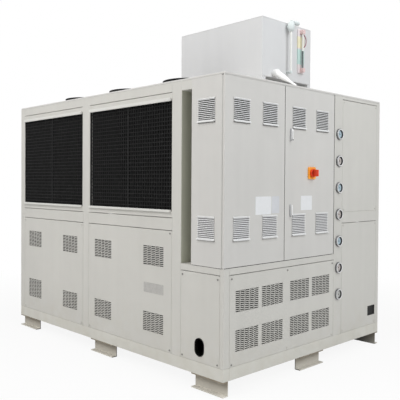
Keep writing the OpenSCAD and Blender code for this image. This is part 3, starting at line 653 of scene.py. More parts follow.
# Cable entry: an upright oval hole in the panel below the cabinet, edged with a black rubber grommet. The
# grommet is one moulded ring with a small lip on both sides of the sheet.
CABLE_X, CABLE_Z, CABLE_W, CABLE_H = 2.504, 0.186, 0.088, 0.122
GROMMET_T, GROMMET_OUT, GROMMET_LIP, PANEL_T = 0.003, 0.002, 0.001, 0.018
rubber = worn_black("grommet_rubber", (8, 8, 8), (18, 18, 17), 0.6, 0.1)
grommet = begin(bpy.ops.mesh.primitive_circle_add, "cable_grommet", vertices=40,
                radius=CABLE_W / 2 - GROMMET_T, rotation=(math.pi / 2, 0, 0), location=(0, -GROMMET_OUT, 0))
for side in (-1, 1):
    pick(grommet, "VERT", lambda p: p.z * side > 1e-5)
    move(0, 0, side * (CABLE_H - CABLE_W) / 2)
pick(grommet, "EDGE")
push(0, PANEL_T + 2 * GROMMET_OUT, 0)
for level in (-GROMMET_OUT, PANEL_T + GROMMET_OUT):
    pick(grommet, "EDGE", lambda c, d: abs(c.y - level) < 1e-5)
    push(0, 0, 0)
    grow = 1 + 2 * (GROMMET_T + GROMMET_LIP) / CABLE_W
    resize((grow, 1, 1 + (grow - 1) * CABLE_W / CABLE_H), (0, level, 0))
leave()
shape(grommet, "SOLIDIFY", thickness=GROMMET_T, offset=0)
soften(grommet, 0.0010)
grommet.data.transform(shift(place(CABLE_X, 0, CABLE_Z)))
coat(grommet, rubber)
settle(grommet, "housing")


# Inner sheets: the wall at the coils' end and the wall of the machine compartment in a thin olive-grey
# primer coat, and the painted shelf below the cabinet.
RECESS_OLIVE = (194, 195, 175)
dress(painted_steel("inner_primer", RECESS_OLIVE, 0.6), "coil_end_wall", "compartment_wall")
dress(housing_coat, "service_shelf")


# Recess liner: a thin sheet, folded along its top, that lines the open recess beside the cabinet, with
# olive-grey primer, pale at the mouth and darker towards the back as painted shade of the recess. It is
# spot-welded to the post.
RECESS_LEFT, RECESS_RIGHT, RECESS_LOW, RECESS_TOP = 2.315, 2.4206, 0.7325, 1.9208
LINER_T, LINER_FRONT, LINER_BACK = 0.001, 0.003, 0.130
LINER_PALE, LINER_SHADED = (213, 214, 197), (172, 173, 157)


def shaded_primer(name):
    """Primer with painted shade: darker away from the mouth of the recess, with rub marks."""
    made, shader, spot = new_finish(name)
    rubs = spot.stretched(20, 20, 3).noise(1.0, 3.0)
    mouth = place(0, 0, 0).y
    # Painted shade: darker deeper in the recess, with rub marks.
    dirt_and_shade = (spot.axis("Y").step(mouth, mouth + 0.1) + 0.3 * rubs).step(0.15, 1.15)
    feed(shader, Base_Color=dirt_and_shade.mix(linear(LINER_PALE), linear(LINER_SHADED)), Roughness=0.5 + 0.25 * rubs,
         Normal=spot.noise(300.0, 1.0).bumps(0.05, 0.0005))
    return made


liner = slab("recess_liner", place(RECESS_LEFT, LINER_FRONT, RECESS_LOW),
             place(RECESS_LEFT + LINER_T, LINER_BACK, RECESS_TOP))
pick(liner, "FACE")
bpy.ops.mesh.bisect(plane_co=place(0, 0, RECESS_TOP - LINER_T), plane_no=(0, 0, 1))
leave()
pick(liner, "FACE", lambda c, n: n.x > 0.9 and c.z > place(0, 0, RECESS_TOP - LINER_T).z)
push(RECESS_RIGHT - RECESS_LEFT - LINER_T, 0, 0)
leave()
soften(liner, 0.0003, 1)
coat(liner, shaded_primer("recess_primer"), housing_coat)
tint(liner, 1, lambda c, n: n.z < -0.9)
settle(liner, "housing")


# Control cabinet: a welded sheet box behind two doors, with a galvanised mounting plate on its back wall.
# Its powder coat is a little cooler than the housing's.
CABINET_GREY = (205, 203, 199)
cabinet_coat = painted_steel("cabinet_powder_coat", CABINET_GREY, 0.2)
dress(cabinet_coat, "cabinet_back", "cabinet_sides", "cabinet_floor", "cabinet_roof", fold=0.001)


def spangled_zinc(name):
    """Hot-dip galvanised sheet: crystals of slightly different grey."""
    made, shader, spot = new_finish(name, Metallic=0.85)
    crystals = spot.node("TexVoronoi", values={"Vector": spot, "Scale": 75.0}, out="Color")
    grey = crystals.axis("X")
    feed(shader, Base_Color=grey.mix(linear((150, 153, 155)), linear((190, 193, 194))),
         Roughness=0.32 + 0.2 * grey, Normal=spot.noise(90.0).bumps(0.05, 0.0004))
    return made


dress(spangled_zinc("spangled_zinc"), "mounting_plate")


# Doors: two folded sheet doors on zinc-plated pivots at their outer edges, in the cabinet's own powder
# coat. They meet in the middle with a narrow gap.
dress(cabinet_coat, "left_door", "right_door", fold=0.003)
dress(zinc_plate, "door_pivots", fold=0.0005)


# Door gaskets: pale rubber profiles on the cabinet's front edges, a painted strip over the doors, dark
# strips on the sill, at the jamb and under the cabinet's side, and a dark seal on the right door's edge.
# All are glued on, and the doors swing clear of them.
GASKET, GASKET_DARK, GASKET_WORN = (188, 187, 182), (62, 62, 60), (84, 83, 80)
CABINET_FRONT, CABINET_W, DOOR_LOW, DOOR_TOP = 2.701, 1.247, 0.737, 1.980
GASKET_W, GASKET_IN, GASKET_END = 0.012, 0.0006, 2.7066
SILL_LOW, SILL_TOP, SILL_IN = 0.732, 0.7355, 0.010
HEADER_LOW, HEADER_TOP, HEADER_IN = DOOR_TOP + 0.001, DOOR_TOP + 0.005, 0.014
JAMB_LEFT, JAMB_RIGHT, JAMB_LOW, JAMB_TOP = 1.2502, 1.2513, 0.738, 1.979
BEAD_START, BEAD_END = (2.4215, -0.0005, 0.7306), (2.7005, 0.001, 0.7338)
SEAL_START, SEAL_END = (2.7068, 0.6212, DOOR_LOW + 0.02), (2.7094, 0.648, DOOR_TOP - 0.02)
TRIM_START, TRIM_END = (2.7105, 0.6259, DOOR_LOW + 0.003), (2.7236, 0.6266, DOOR_TOP - 0.003)


def moulded_plastic(name, colour, rough):
    """Moulded plastic: a fine spark texture, soft shade clouds and handling gloss."""
    made, shader, spot = new_finish(name)
    clouds = spot.noise(40.0, 3.0)
    feed(shader, Base_Color=clouds.mix(linear(colour, 0.9), linear(colour, 1.06)),
         Roughness=rough + 0.15 * clouds, Normal=spot.noise(900.0, 1.0).bumps(0.1, 0.0003))
    return made


def strip(name, low, high, finish, radius, segments=2, test=None):
    """A straight profile between two corners, with the edges that pass a test rounded, or all of them."""
    piece = slab(name, place(*low), place(*high))
    if test:
        round_edges(piece, test, radius, segments)
    else:
        soften(piece, radius, segments)
    return coat(piece, finish)


pale_rubber = moulded_plastic("gasket_rubber", GASKET, 0.5)
dark_rubber = worn_black("edge_rubber", GASKET_DARK, GASKET_WORN, 0.6, 0.2)
inner = CABINET_W - GASKET_W
gaskets = [strip("door_gaskets", (CABINET_FRONT, left, low), (GASKET_END, right, top), pale_rubber, 0.0008)
           for left, right, low, top in ((GASKET_IN, GASKET_W, DOOR_LOW, DOOR_TOP),
                                         (inner, CABINET_W - GASKET_IN, DOOR_LOW, DOOR_TOP),
                                         (GASKET_W, inner, DOOR_TOP - GASKET_W, DOOR_TOP),
                                         (GASKET_W, inner, DOOR_LOW, DOOR_LOW + GASKET_W))]
header = strip("header_strip", (CABINET_FRONT, HEADER_IN, HEADER_LOW),
               (housing_l - 0.0003, CABINET_W - HEADER_IN, HEADER_TOP), cabinet_coat, 0.0005, 2,
               lambda c, d: c.z < place(0, 0, HEADER_LOW + 0.001).z and abs(d.y) > 0.9)
sill = strip("sill_strip", (CABINET_FRONT, SILL_IN, SILL_LOW),
             (housing_l - 0.004, CABINET_W - SILL_IN, SILL_TOP), dark_rubber, 0.0008)
jamb = strip("jamb_strip", (CABINET_FRONT, JAMB_LEFT, JAMB_LOW), (housing_l - 0.0008, JAMB_RIGHT, JAMB_TOP),
             dark_rubber, 0.0004, 1, lambda c, d: abs(d.z) > 0.9 and c.y < place(0, JAMB_LEFT + 0.0008, 0).y)
bead = strip("cabinet_bead", BEAD_START, BEAD_END, dark_rubber, 0.0002, 1)
settle(join(*gaskets, header, sill, jamb, bead), "housing")
edge_seal = strip("door_edge_seal", SEAL_START, SEAL_END, dark_rubber, 0.0008, 2,
                  lambda c, d: abs(d.z) > 0.9)
trim = strip("edge_trim", TRIM_START, TRIM_END, dark_rubber, 0.0003, 1,
             lambda c, d: abs(d.z) > 0.9 and c.y < place(0, TRIM_START[1] + 0.0003, 0).y)
settle(join(edge_seal, trim), "right_door")


# Louvre vents: pressed steel hoods with eleven sloping slats between a top and a bottom lip, riveted over
# openings in the doors and the cabinet's side. They are painted paler than the doors as a painted highlight,
# with a dark sheet behind the slats as painted shade, paler on the lower vents as painted bounce light,
# and a dark bead under the bottom lip as a painted shadow.
LOUVRE_W, LOUVRE_H, LOUVRE_OUT = 0.164, 0.158, 0.014
SLATS, SLAT_H, SLAT_OUT, LIP_TOP, LIP_LOW, CHEEK = 11, 0.0065, 0.008, 0.007, 0.014, 0.002
LEFT_LOUVRES, RIGHT_LOUVRES = (0.16325, 0.45725), (0.78975, 1.08375)
LOUVRE_LEVELS = (0.988, 1.766)
SIDE_LOUVRE_X = 2.559
LIP_SLOPE, LIP_SHADOW_H = 0.62, 0.005
LOUVRE_LIT_GREY = (222, 222, 221)
DEPTH_BOUNCE_LIT, DEPTH_SHADE = (128, 124, 130), (38, 38, 38)


def depth_shade_finish(name):
    """Painted shade that shows between the slats: dark near the top, paler on the lower vents as painted
    bounce light, with a fine mottle.
    """
    made, shader, spot = new_finish(name, Specular_IOR_Level=0.1)
    lint = spot.noise(80.0, 3.0)
    lower, upper = (place(0, 0, level).z for level in LOUVRE_LEVELS)
    # The lower vents' paler depth is painted bounce light from the floor.
    bounce_lit = lint.mix(linear(DEPTH_BOUNCE_LIT, 0.9), linear(DEPTH_BOUNCE_LIT, 1.1))
    feed(shader, Base_Color=spot.axis("Z").step(lower + 0.1, upper - 0.1).mix(bounce_lit, linear(DEPTH_SHADE)),
         Roughness=0.6 + 0.2 * lint)
    return made


def louvre_vent():
    """One vent, facing the front, with its middle on the sheet at the origin."""
    wide, tall = LOUVRE_W / 2, LOUVRE_H / 2
    lips = []
    for low, high, out, edge in ((-tall, LIP_LOW - tall, LOUVRE_OUT, 0.005),
                                 (tall - LIP_TOP, tall, LOUVRE_OUT * 0.6, 0.002)):
        lip = slab("left_louvre_vents", (-wide, -out, low), (wide, 0, high))
        pick(lip, "EDGE", lambda c, d: c.y < -out * 0.9 and abs(d.x) > 0.9 and c.z > (low + high) / 2)
        move(0, out * LIP_SLOPE, 0)
        pick(lip, "EDGE", lambda c, d: c.y < -out * 0.9 and abs(d.x) > 0.9 and c.z < (low + high) / 2)
        push(0, 0, edge)
        leave()
        shape(lip, "WELD", merge_threshold=1e-6)
        soften(lip, 0.0012)
        lips.append(coat(lip, lip_coat))
    # A dark bead under the bottom lip: painted shadow of the lip.
    bead = slab("lip_shadow_bead", (-wide + 0.002, -0.002, -tall - LIP_SHADOW_H), (wide, 0, 0.0005 - tall))
    soften(bead, 0.0008)
    lips.append(coat(bead, lip_shadow_grey))
    step = (LOUVRE_H - LIP_TOP - LIP_LOW) / SLATS
    foot = LIP_LOW - tall + step - SLAT_H
    slat = slab("slat", (CHEEK - wide, -SLAT_OUT, foot), (wide - CHEEK, -0.0005, foot + SLAT_H))
    pick(slat, "EDGE", lambda c, d: abs(d.x) > 0.9 and c.y < -SLAT_OUT / 2 and c.z > foot + SLAT_H / 2)
    move(0, SLAT_OUT - 0.0015, 0)
    pick(slat, "FACE", lambda c, n: n.z < -0.9)
    inset(0.0011)
    push(0, 0.001, SLAT_H * 0.55)
    leave()
    repeat(slat, SLATS, (0, 0, step))
    # A dark sheet behind the slats: painted shade of the cabinet's inside.
    shade = begin(bpy.ops.mesh.primitive_plane_add, "louvre_dark", (wide - 0.007, tall - LIP_TOP / 2, 1),
                  rotation=(math.pi / 2, 0, 0), location=(0, -0.0004, 0))
    pick(shade, "FACE")
    inset(0.004, -0.0002)
    leave()
    return join(*lips, coat(slat, lip_coat), coat(shade, louvre_depth))


# The hoods and slats are painted paler than the doors: a painted highlight.
lip_coat = painted_steel("louvre_powder_coat", LOUVRE_LIT_GREY, 0.0)
lip_shadow_grey = worn_black("lip_shadow_grey", (112, 111, 109), (132, 131, 128), 0.6, 0.2)
louvre_depth = depth_shade_finish("louvre_depth")
left_louvres = louvre_vent()
right_louvres = twin(left_louvres, Matrix(), "right_louvre_vents")
side_louvres = twin(left_louvres, Matrix(), "side_louvre_vents")
for vents, side, columns, body, node in (
        (left_louvres, "end", LEFT_LOUVRES, "left_door", "left_door_louvres"),
        (right_louvres, "end", RIGHT_LOUVRES, "right_door", "right_door_louvres"),
        (side_louvres, "front", (SIDE_LOUVRE_X,), "housing", "side_louvres")):
    spread(vents, on_side(side, [(column, level) for column in columns for level in LOUVRE_LEVELS]))
    settle(vents, body, [node])


# Door cards: blank white cards under thin film, stuck on each door between its vents, and an empty clear
# pocket beside the left one.
CARD_T = 0.0008
CARD_WHITE, CARD_AGED = (232, 233, 235), (222, 223, 223)
POCKET, POCKET_AGED = (210, 211, 214), (200, 202, 206)


def card_film(name, fresh, old):
    made, shader, spot = new_finish(name, Coat_Weight=0.3)
    aged = spot.noise(30.0, 3.0)
    feed(shader, Base_Color=aged.mix(linear(fresh), linear(old)), Roughness=0.3 + 0.15 * aged,
         Normal=spot.noise(16.0).bumps(0.03, 0.001))
    return made


def door_card(name, body, finish, left, right, low, high):
    card = slab(name, place(housing_l, left, low), place(housing_l + CARD_T, right, high))
    round_corners(card, "x", 0.004, 3)
    dish(card, "+x", (0.003, -CARD_T * 0.3))
    coat(card, finish)
    settle(card, body)


blank_card = card_film("blank_card", CARD_WHITE, CARD_AGED)
clear_pocket = card_film("clear_pocket", POCKET, POCKET_AGED)
door_card("left_door_card", "left_door", blank_card, 0.306, 0.474, 1.072, 1.196)
door_card("left_door_pocket", "left_door", clear_pocket, 0.480, 0.563, 1.078, 1.196)
door_card("right_door_card", "right_door", blank_card, 0.818, 0.955, 1.090, 1.197)


# Main switch: a yellow moulded plate on the right door with a red turning knob, whose grip is a thick bar.
# The knob turns on a spindle through the plate.
SWITCH_Y, SWITCH_Z, SWITCH_W, SWITCH_T = 0.945, 1.366, 0.090, 0.010
KNOB_R, KNOB_T, GRIP_T, GRIP_W, KNOB_GAP = 0.030, 0.018, 0.036, 0.018, 0.0004
switch_yellow = moulded_plastic("switch_yellow", (255, 172, 58), 0.4)
switch_red = moulded_plastic("switch_red", (232, 66, 30), 0.35)
switch_shade = moulded_plastic("switch_shade", (132, 30, 14), 0.45)
half = SWITCH_W / 2
switch_plate = slab("switch_escutcheon", place(housing_l, SWITCH_Y - half, SWITCH_Z - half),
                    place(housing_l + SWITCH_T, SWITCH_Y + half, SWITCH_Z + half))
round_corners(switch_plate, "x", 0.012, 5)
dish(switch_plate, "+x", (0.003,), (0.003, -0.0015))
soften(switch_plate, 0.001)
coat(switch_plate, switch_yellow)
settle(switch_plate, "right_door", ["switch_plate"])
knob_face = housing_l + SWITCH_T + KNOB_GAP
knob = rod("switch_handle", 40, KNOB_R, KNOB_T, place(knob_face + KNOB_T / 2, SWITCH_Y, SWITCH_Z), "x")
dish(knob, "+x", (0.003, 0, -0.004))
grip = slab("grip", place(knob_face + KNOB_T * 0.6, SWITCH_Y - GRIP_W / 2, SWITCH_Z - KNOB_R * 0.9),
            place(knob_face + KNOB_T + GRIP_T, SWITCH_Y + GRIP_W / 2, SWITCH_Z + KNOB_R * 0.9))
pick(grip, "FACE", lambda c, n: n.x > 0.9)
resize((1, 0.72, 0.9), place(knob_face, SWITCH_Y, SWITCH_Z))
leave()
soften(grip, 0.003, 3)
soften(knob, 0.001)
coat(knob, switch_red, switch_shade)
tint(knob, 1, lambda c, n: n.x > 0.9 and c.x < place(knob_face + KNOB_T - 0.002, 0, 0).x)
join(knob, coat(grip, switch_red))
settle(knob, "switch_knob", ["switch_knob"])


# Door handles: chromed zinc castings on the right door, a fixed plate with a lever that turns on its boss.
# The plate is a darker copy of the lever's chrome, painted shade that outlines the lever. A key barrel sits
# in the lever's pivot.
HANDLE_Y, HANDLE_LEVELS = 0.6885, (1.600, 1.053)
PLATE_W, PLATE_H, PLATE_T, BOSS_R, BOSS_OUT = 0.014, 0.090, 0.005, 0.0068, 0.016
LEVER_W, LEVER_L, LEVER_T, LEVER_GAP, BARREL_R = 0.010, 0.080, 0.007, 0.0004, 0.0048
bright_chrome = plated_metal("bright_chrome", (226, 227, 228), 0.22, 0.04)
# A darker copy of the chrome for the plates: painted shade round the levers.
plate_shade_nickel = plated_metal("plate_shade_nickel", (184, 185, 187), 0.3, 0.06)
plate_r = PLATE_W / 2
handle_plate = slab("handle_escutcheons", (0, -plate_r, -plate_r), (PLATE_T, plate_r, PLATE_H - plate_r))
round_corners(handle_plate, "x", plate_r * 0.9, 5)
soften(handle_plate, 0.0012)
boss = rod("boss", 28, BOSS_R, BOSS_OUT - PLATE_T * 0.5, ((BOSS_OUT + PLATE_T * 0.5) / 2, 0, 0), "x")
round_edges(boss, lambda c, d: c.x > BOSS_OUT * 0.95, 0.001, 2)
coat(join(handle_plate, boss), plate_shade_nickel)
spread(handle_plate, [shift(place(housing_l, HANDLE_Y, level)) for level in HANDLE_LEVELS])
settle(handle_plate, "right_door", ["handle_plates"])
back = BOSS_OUT + LEVER_GAP
for body, level in zip(("upper_handle", "lower_handle"), HANDLE_LEVELS):
    lever = rod(body + "_lever", 28, BOSS_R, LEVER_T, (back + LEVER_T / 2, 0, 0), "x")
    dish(lever, "+x", (BOSS_R - BARREL_R, 0, -0.002), (BARREL_R * 0.6, 0, -0.002))
    coat(lever, bright_chrome, slot_shadow)
    tint(lever, 1, lambda c, n: (back + LEVER_T * 0.3 < c.x < back + LEVER_T - 0.001
                                 and c.yz.length < BARREL_R))
    bar = slab("lever_bar", (back, -LEVER_W / 2, BOSS_R * 0.6), (back + LEVER_T, LEVER_W / 2, LEVER_L))
    pick(bar, "FACE", lambda c, n: n.z > 0.9)
    resize((0.7, 0.8, 1), (back, 0, LEVER_L))
    leave()
    soften(bar, 0.0025, 3)
    join(lever, coat(bar, bright_chrome))
    lever.data.transform(shift(place(housing_l, HANDLE_Y, level)))
    settle(lever, body, [body])


# Pressure gauges: seven round dials on the strip beside the cabinet. Each has a dark pressed flange, a
# chromed bezel and a pale dial with marks and a needle. The bore between the bezel and the dial is painted
# dark as painted shade.
GAUGE_Y, GAUGE_LOW, GAUGE_PITCH = 1.319, 0.408, 0.212
FLANGE_R, FLANGE_T, RIM_R, GAUGE_OUT = 0.044, 0.010, 0.0405, 0.016
BORE_R, DIAL_R, DIAL_DEEP = 0.034, 0.0275, 0.011
MARKS, SWEEP, MARK_W, MARK_T = 11, 270, 0.0012, 0.0003
NEEDLE_W, NEEDLE_T, NEEDLE_OUT, PIN_R, PIN_H = 0.0022, 0.0008, 0.0008, 0.0035, 0.0024
NEEDLES = (35, 50, 20, 60, 45, 30, 55)


def pressure_gauge(needle_turn, dial):
    """One gauge, facing the door end, with its middle on the strip at the origin."""
    case = rod("gauge_dials", 40, FLANGE_R, FLANGE_T, (FLANGE_T / 2, 0, 0), "x")
    dish(case, "+x", (FLANGE_R - RIM_R, 0, GAUGE_OUT - FLANGE_T), (RIM_R - BORE_R, 0, -DIAL_DEEP),
         (BORE_R - DIAL_R,))
    soften(case, 0.0012)
    coat(case, bright_chrome, dial, bezel_bore_shade, flange_grey)
    tint(case, 3, lambda c, n: c.yz.length > RIM_R * 1.02)
    # Painted shade on the bore between the bezel and the dial.
    tint(case, 2, lambda c, n: c.x < GAUGE_OUT - 0.001 and DIAL_R * 0.9 < c.yz.length < RIM_R)
    tint(case, 1, lambda c, n: n.x > 0.9 and c.yz.length < DIAL_R * 0.5)
    face = GAUGE_OUT - DIAL_DEEP
    marks = slab("mark", (face, -MARK_W / 2, DIAL_R * 0.74), (face + MARK_T, MARK_W / 2, DIAL_R * 0.92))
    dish(marks, "+x", (0.0002,))
    spread(marks, [Matrix.Rotation(math.radians(SWEEP / 2 - SWEEP * k / (MARKS - 1)), 4, "X")
                   for k in range(MARKS)])
    needle = slab("needle", (face + NEEDLE_OUT, -NEEDLE_W / 2, -DIAL_R * 0.25),
                  (face + NEEDLE_OUT + NEEDLE_T, NEEDLE_W / 2, DIAL_R * 0.8))
    pick(needle, "VERT", lambda p: p.z > DIAL_R * 0.7)
    resize((1, 0.25, 1), (0, 0, 0))
    leave()
    needle.data.transform(Matrix.Rotation(math.radians(needle_turn), 4, "X"))
    pin = rod("pin", 16, PIN_R, PIN_H, (face + PIN_H / 2, 0, 0), "x")
    soften(pin, 0.0006)
    return join(case, *[coat(piece, dial_ink) for piece in (marks, needle, pin)])


dial_blue = moulded_plastic("dial_blue", (174, 194, 204), 0.3)
dial_red = moulded_plastic("dial_red", (192, 184, 180), 0.3)
dial_grey = moulded_plastic("dial_grey", (186, 186, 182), 0.3)
dial_ink = worn_black("dial_ink", (24, 24, 26), (40, 40, 42), 0.4)
bezel_bore_shade = worn_black("bezel_bore_shade", (44, 44, 46), (70, 70, 72), 0.25)
flange_grey = worn_black("flange_grey", (78, 79, 81), (116, 117, 118), 0.25)
DIALS = (dial_grey, dial_red, dial_blue, dial_red, dial_blue, dial_red, dial_blue)
gauges = [spread(pressure_gauge(turn, dial), [shift(place(housing_l, GAUGE_Y, GAUGE_LOW + GAUGE_PITCH * k))])
          for k, (turn, dial) in enumerate(zip(NEEDLES, DIALS))]
settle(join(*gauges), "housing", ["pressure_gauges"])


# Drain grille: a small black moulded grille set back in the lower tall panel, upright bars in a deep collar
# that lines the hole.
grille_low, grille_high = (Vector(point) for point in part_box("drain_grille"))
GRILLE_EDGE, GRILLE_BARS, BAR_W = 0.009, 9, 0.005
COLLAR_W, COLLAR_DEEP, COLLAR_FIT = 0.0025, 0.0145, 0.0003
edge = Vector((0, COLLAR_FIT, COLLAR_FIT))
grille = slab("drain_bars", grille_low + edge, grille_high - edge)
dish(grille, "+x", (COLLAR_W,))
inner = grille_high - edge - Vector((0, COLLAR_W * 0.9, COLLAR_W * 0.9))
middle = (grille_low + grille_high) / 2
pick(grille, "FACE", lambda c, n: n.x > 0.9 and (abs(c.y - middle.y) > inner.y - middle.y - 1e-4
                                                or abs(c.z - middle.z) > inner.z - middle.z - 1e-4))
push(COLLAR_DEEP, 0, 0)
pick(grille, "FACE", lambda c, n: n.x > 0.9 and (c - middle).yz.length < COLLAR_W)
inset(GRILLE_EDGE - COLLAR_W)
push(-0.002, 0, 0)
leave()
soften(grille, 0.0008, 1)
gap = (grille_high.y - grille_low.y - 2 * GRILLE_EDGE) / (GRILLE_BARS + 1)
bar_y = grille_low.y + GRILLE_EDGE + gap
bar = slab("bar", (grille_high.x - 0.0022, bar_y - BAR_W / 2, grille_low.z + GRILLE_EDGE),
           (grille_high.x, bar_y + BAR_W / 2, grille_high.z - GRILLE_EDGE))
soften(bar, 0.0007, 1)
repeat(bar, GRILLE_BARS, (0, gap, 0))
coat(join(grille, bar), worn_black("grille_black", (34, 34, 34), (56, 56, 55), 0.45))
settle(grille, "housing", ["drain_grille"])


# Roof deck: one folded sheet over the whole housing, in the cabinet's powder coat. Its edges rest on the
# top rails.
dress(cabinet_coat, "roof_deck", fold=0.004)


# Roof fans: six axial fans in two rows. Each has a black rolled drum, a motor hub with five twisted blades
# and a welded wire guard on top.
FAN_R, FAN_H, GUARD_T = 0.205, 0.055, 0.005
FAN_COLUMNS, FAN_ROWS, ROOF_Z = (0.600, 1.299, 1.998), (0.365, 1.585), 2.000
DRUM_T, DRUM_SHARE, RIM_H, RIM_SHARE = 0.004, 0.965, 0.006, 1.036
FLOOR_SHARE, FLOOR_Z, FLOOR_RIM = 0.97, 0.0015, 0.02
HUB_R, HUB_H, HUB_Z = 0.066, 0.034, 0.019
BLADES, BLADE_ROOT, BLADE_TIP, BLADE_W, BLADE_T = 5, 0.060, 0.186, 0.094, 0.003
BLADE_TWIST, BLADE_PITCH, BLADE_FOOT, TIP_SHARE = -18, 16, 0.004, 1.35
GUARD_RINGS, GUARD_SPOKES, GUARD_WIRE, SPOKE_H, SPOKE_UNDER = 9, 8, 0.0024, 0.004, 0.001


def ring_of(count):
    """Even turns about the upright axis."""
    return [Matrix.Rotation(2 * math.pi * k / count, 4, "Z") for k in range(count)]


def roof_fan():
    """One fan, with the middle of its foot at the origin."""
    drum = begin(bpy.ops.mesh.primitive_circle_add, "roof_fans", vertices=64, radius=FAN_R)
    pick(drum, "EDGE")
    for grow, rise in ((DRUM_SHARE, 0.0), (1.0, FAN_H - RIM_H), (RIM_SHARE, RIM_H)):
        push(0, 0, rise)
        resize((grow, grow, 1), (0, 0, 0))
    leave()
    shape(drum, "SOLIDIFY", thickness=DRUM_T, offset=-1)
    hub = rod("hub", 40, HUB_R, HUB_H, (0, 0, HUB_Z))
    dish(hub, "+z", (0.012, 0.004), (0.025, -0.003))
    soften(hub, 0.003)
    middle, reach = (BLADE_ROOT + BLADE_TIP) / 2, (BLADE_TIP - BLADE_ROOT) / 2
    blades = begin(bpy.ops.mesh.primitive_grid_add, "blade", (reach, BLADE_W / 2, 1), x_subdivisions=6,
                   y_subdivisions=4, location=(middle, 0, 0))
    pick(blades, "VERT", lambda p: p.x > middle)
    resize((1, TIP_SHARE, 1), (0, 0.02, 0))
    leave()
    shape(blades, "SIMPLE_DEFORM", deform_method="TWIST", deform_axis="X", angle=math.radians(BLADE_TWIST))
    blades.data.transform(Matrix.Rotation(math.radians(BLADE_PITCH), 4, "X"))
    low = min(point.co.z for point in blades.data.vertices)
    blades.data.transform(Matrix.Translation((0, 0, BLADE_FOOT - low)))
    shape(blades, "SOLIDIFY", thickness=BLADE_T, offset=1)
    spread(blades, ring_of(BLADES))
    floor_disc = begin(bpy.ops.mesh.primitive_circle_add, "fan_floor", vertices=64, fill_type="NGON",
                       radius=FAN_R * FLOOR_SHARE, location=(0, 0, FLOOR_Z))
    pick(floor_disc, "FACE")
    inset(FLOOR_RIM, -0.001)
    leave()
    return join(*[coat(piece, fan_black) for piece in (drum, hub, blades, floor_disc)])


def wire_guard():
    """One guard: rings of wire on spokes, with a small blank boss in the middle."""
    rings = []
    height = FAN_H + GUARD_T - GUARD_WIRE
    for k in range(GUARD_RINGS):
        radius = HUB_R * 0.5 + (FAN_R - GUARD_WIRE - HUB_R * 0.5) * k / (GUARD_RINGS - 1)
        rings.append(begin(bpy.ops.mesh.primitive_torus_add, "ring", major_radius=radius, major_segments=56,
                           minor_radius=GUARD_WIRE, minor_segments=6, location=(0, 0, height)))
    spokes = slab("spoke", (HUB_R * 0.4, -GUARD_WIRE, height - SPOKE_UNDER - SPOKE_H),
                  (FAN_R, GUARD_WIRE, height - SPOKE_UNDER))
    pick(spokes, "FACE", lambda c, n: n.x > 0.9)
    push(0, 0, 0)
    move(-0.004, 0, -0.006)
    leave()
    soften(spokes, 0.0008, 1)
    spread(spokes, ring_of(GUARD_SPOKES))
    boss = rod("roof_fan_guards", 32, HUB_R * 0.5, 0.004, (0, 0, height - 0.001))
    dish(boss, "+z", (0.004, 0.0008))
    return coat(join(boss, *rings, spokes), fan_black)


fan_black = worn_black("fan_black", (16, 16, 17), (34, 34, 34), 0.5, 0.2)
fan_moves = [shift(place(x, y, ROOF_Z)) for x in FAN_COLUMNS for y in FAN_ROWS]
fans = spread(roof_fan(), fan_moves)
guards = spread(wire_guard(), fan_moves)
settle(fans, "housing", ["fan_drums"])
settle(guards, "housing", ["fan_guards"])


# Make-up tank: a welded sheet box with a flat lid, on two runners along the roof. Paler and smoother
# paint than the housing.
TANK_GREY = (212, 212, 212)
tank_coat = painted_steel("tank_powder_coat", TANK_GREY, 0.0)
dress(tank_coat, "tank_floor", "tank_sides", "tank_ends", "tank_lid", "tank_stand", fold=0.0015)


# Sight tube and fill fitting: a thin pale plastic tube on an arm with a union nut, below a moulded valve
# body with a level inlet and a collar at its mouth. All are screwed into the tank's end.
TANK_END, TUBE_Y, TUBE_OUT, TUBE_R = 2.485, 0.952, 0.036, 0.009
ARM_Z, ARM_R, NUT_R, NUT_L = 2.149, 0.007, 0.013, 0.012
CUFF_SHARE, CUFF_L = 1.3, 0.022
BODY_R, BODY_LOW, BODY_H, NECK_SHARE = 0.026, 2.464, 0.074, 0.7
INLET_R, INLET_L, MOUTH_L, MOUTH_IN, MOUTH_SHARE = 0.017, 0.093, 0.03, 0.02, 0.78
TUBE_WHITE, FITTING_GREY = (234, 234, 230), (214, 221, 220)
tube_plastic = moulded_plastic("tube_plastic", TUBE_WHITE, 0.25)
fitting_plastic = moulded_plastic("fitting_plastic", FITTING_GREY, 0.3)
tube_x, tube_low = TANK_END + TUBE_OUT, ARM_Z - 2 * ARM_R


def union_arm(name, level):
    """An arm out of the tank's end with a six-sided union nut at its root."""
    arm = rod(name, 20, ARM_R, TUBE_OUT, place(TANK_END + TUBE_OUT / 2, TUBE_Y, level), "x")
    dish(arm, "+x", (0.002,))
    nut = rod("nut", 6, NUT_R, NUT_L, place(TANK_END + NUT_L / 2, TUBE_Y, level), "x")
    soften(nut, 0.0015)
    return coat(join(arm, nut), fitting_plastic)


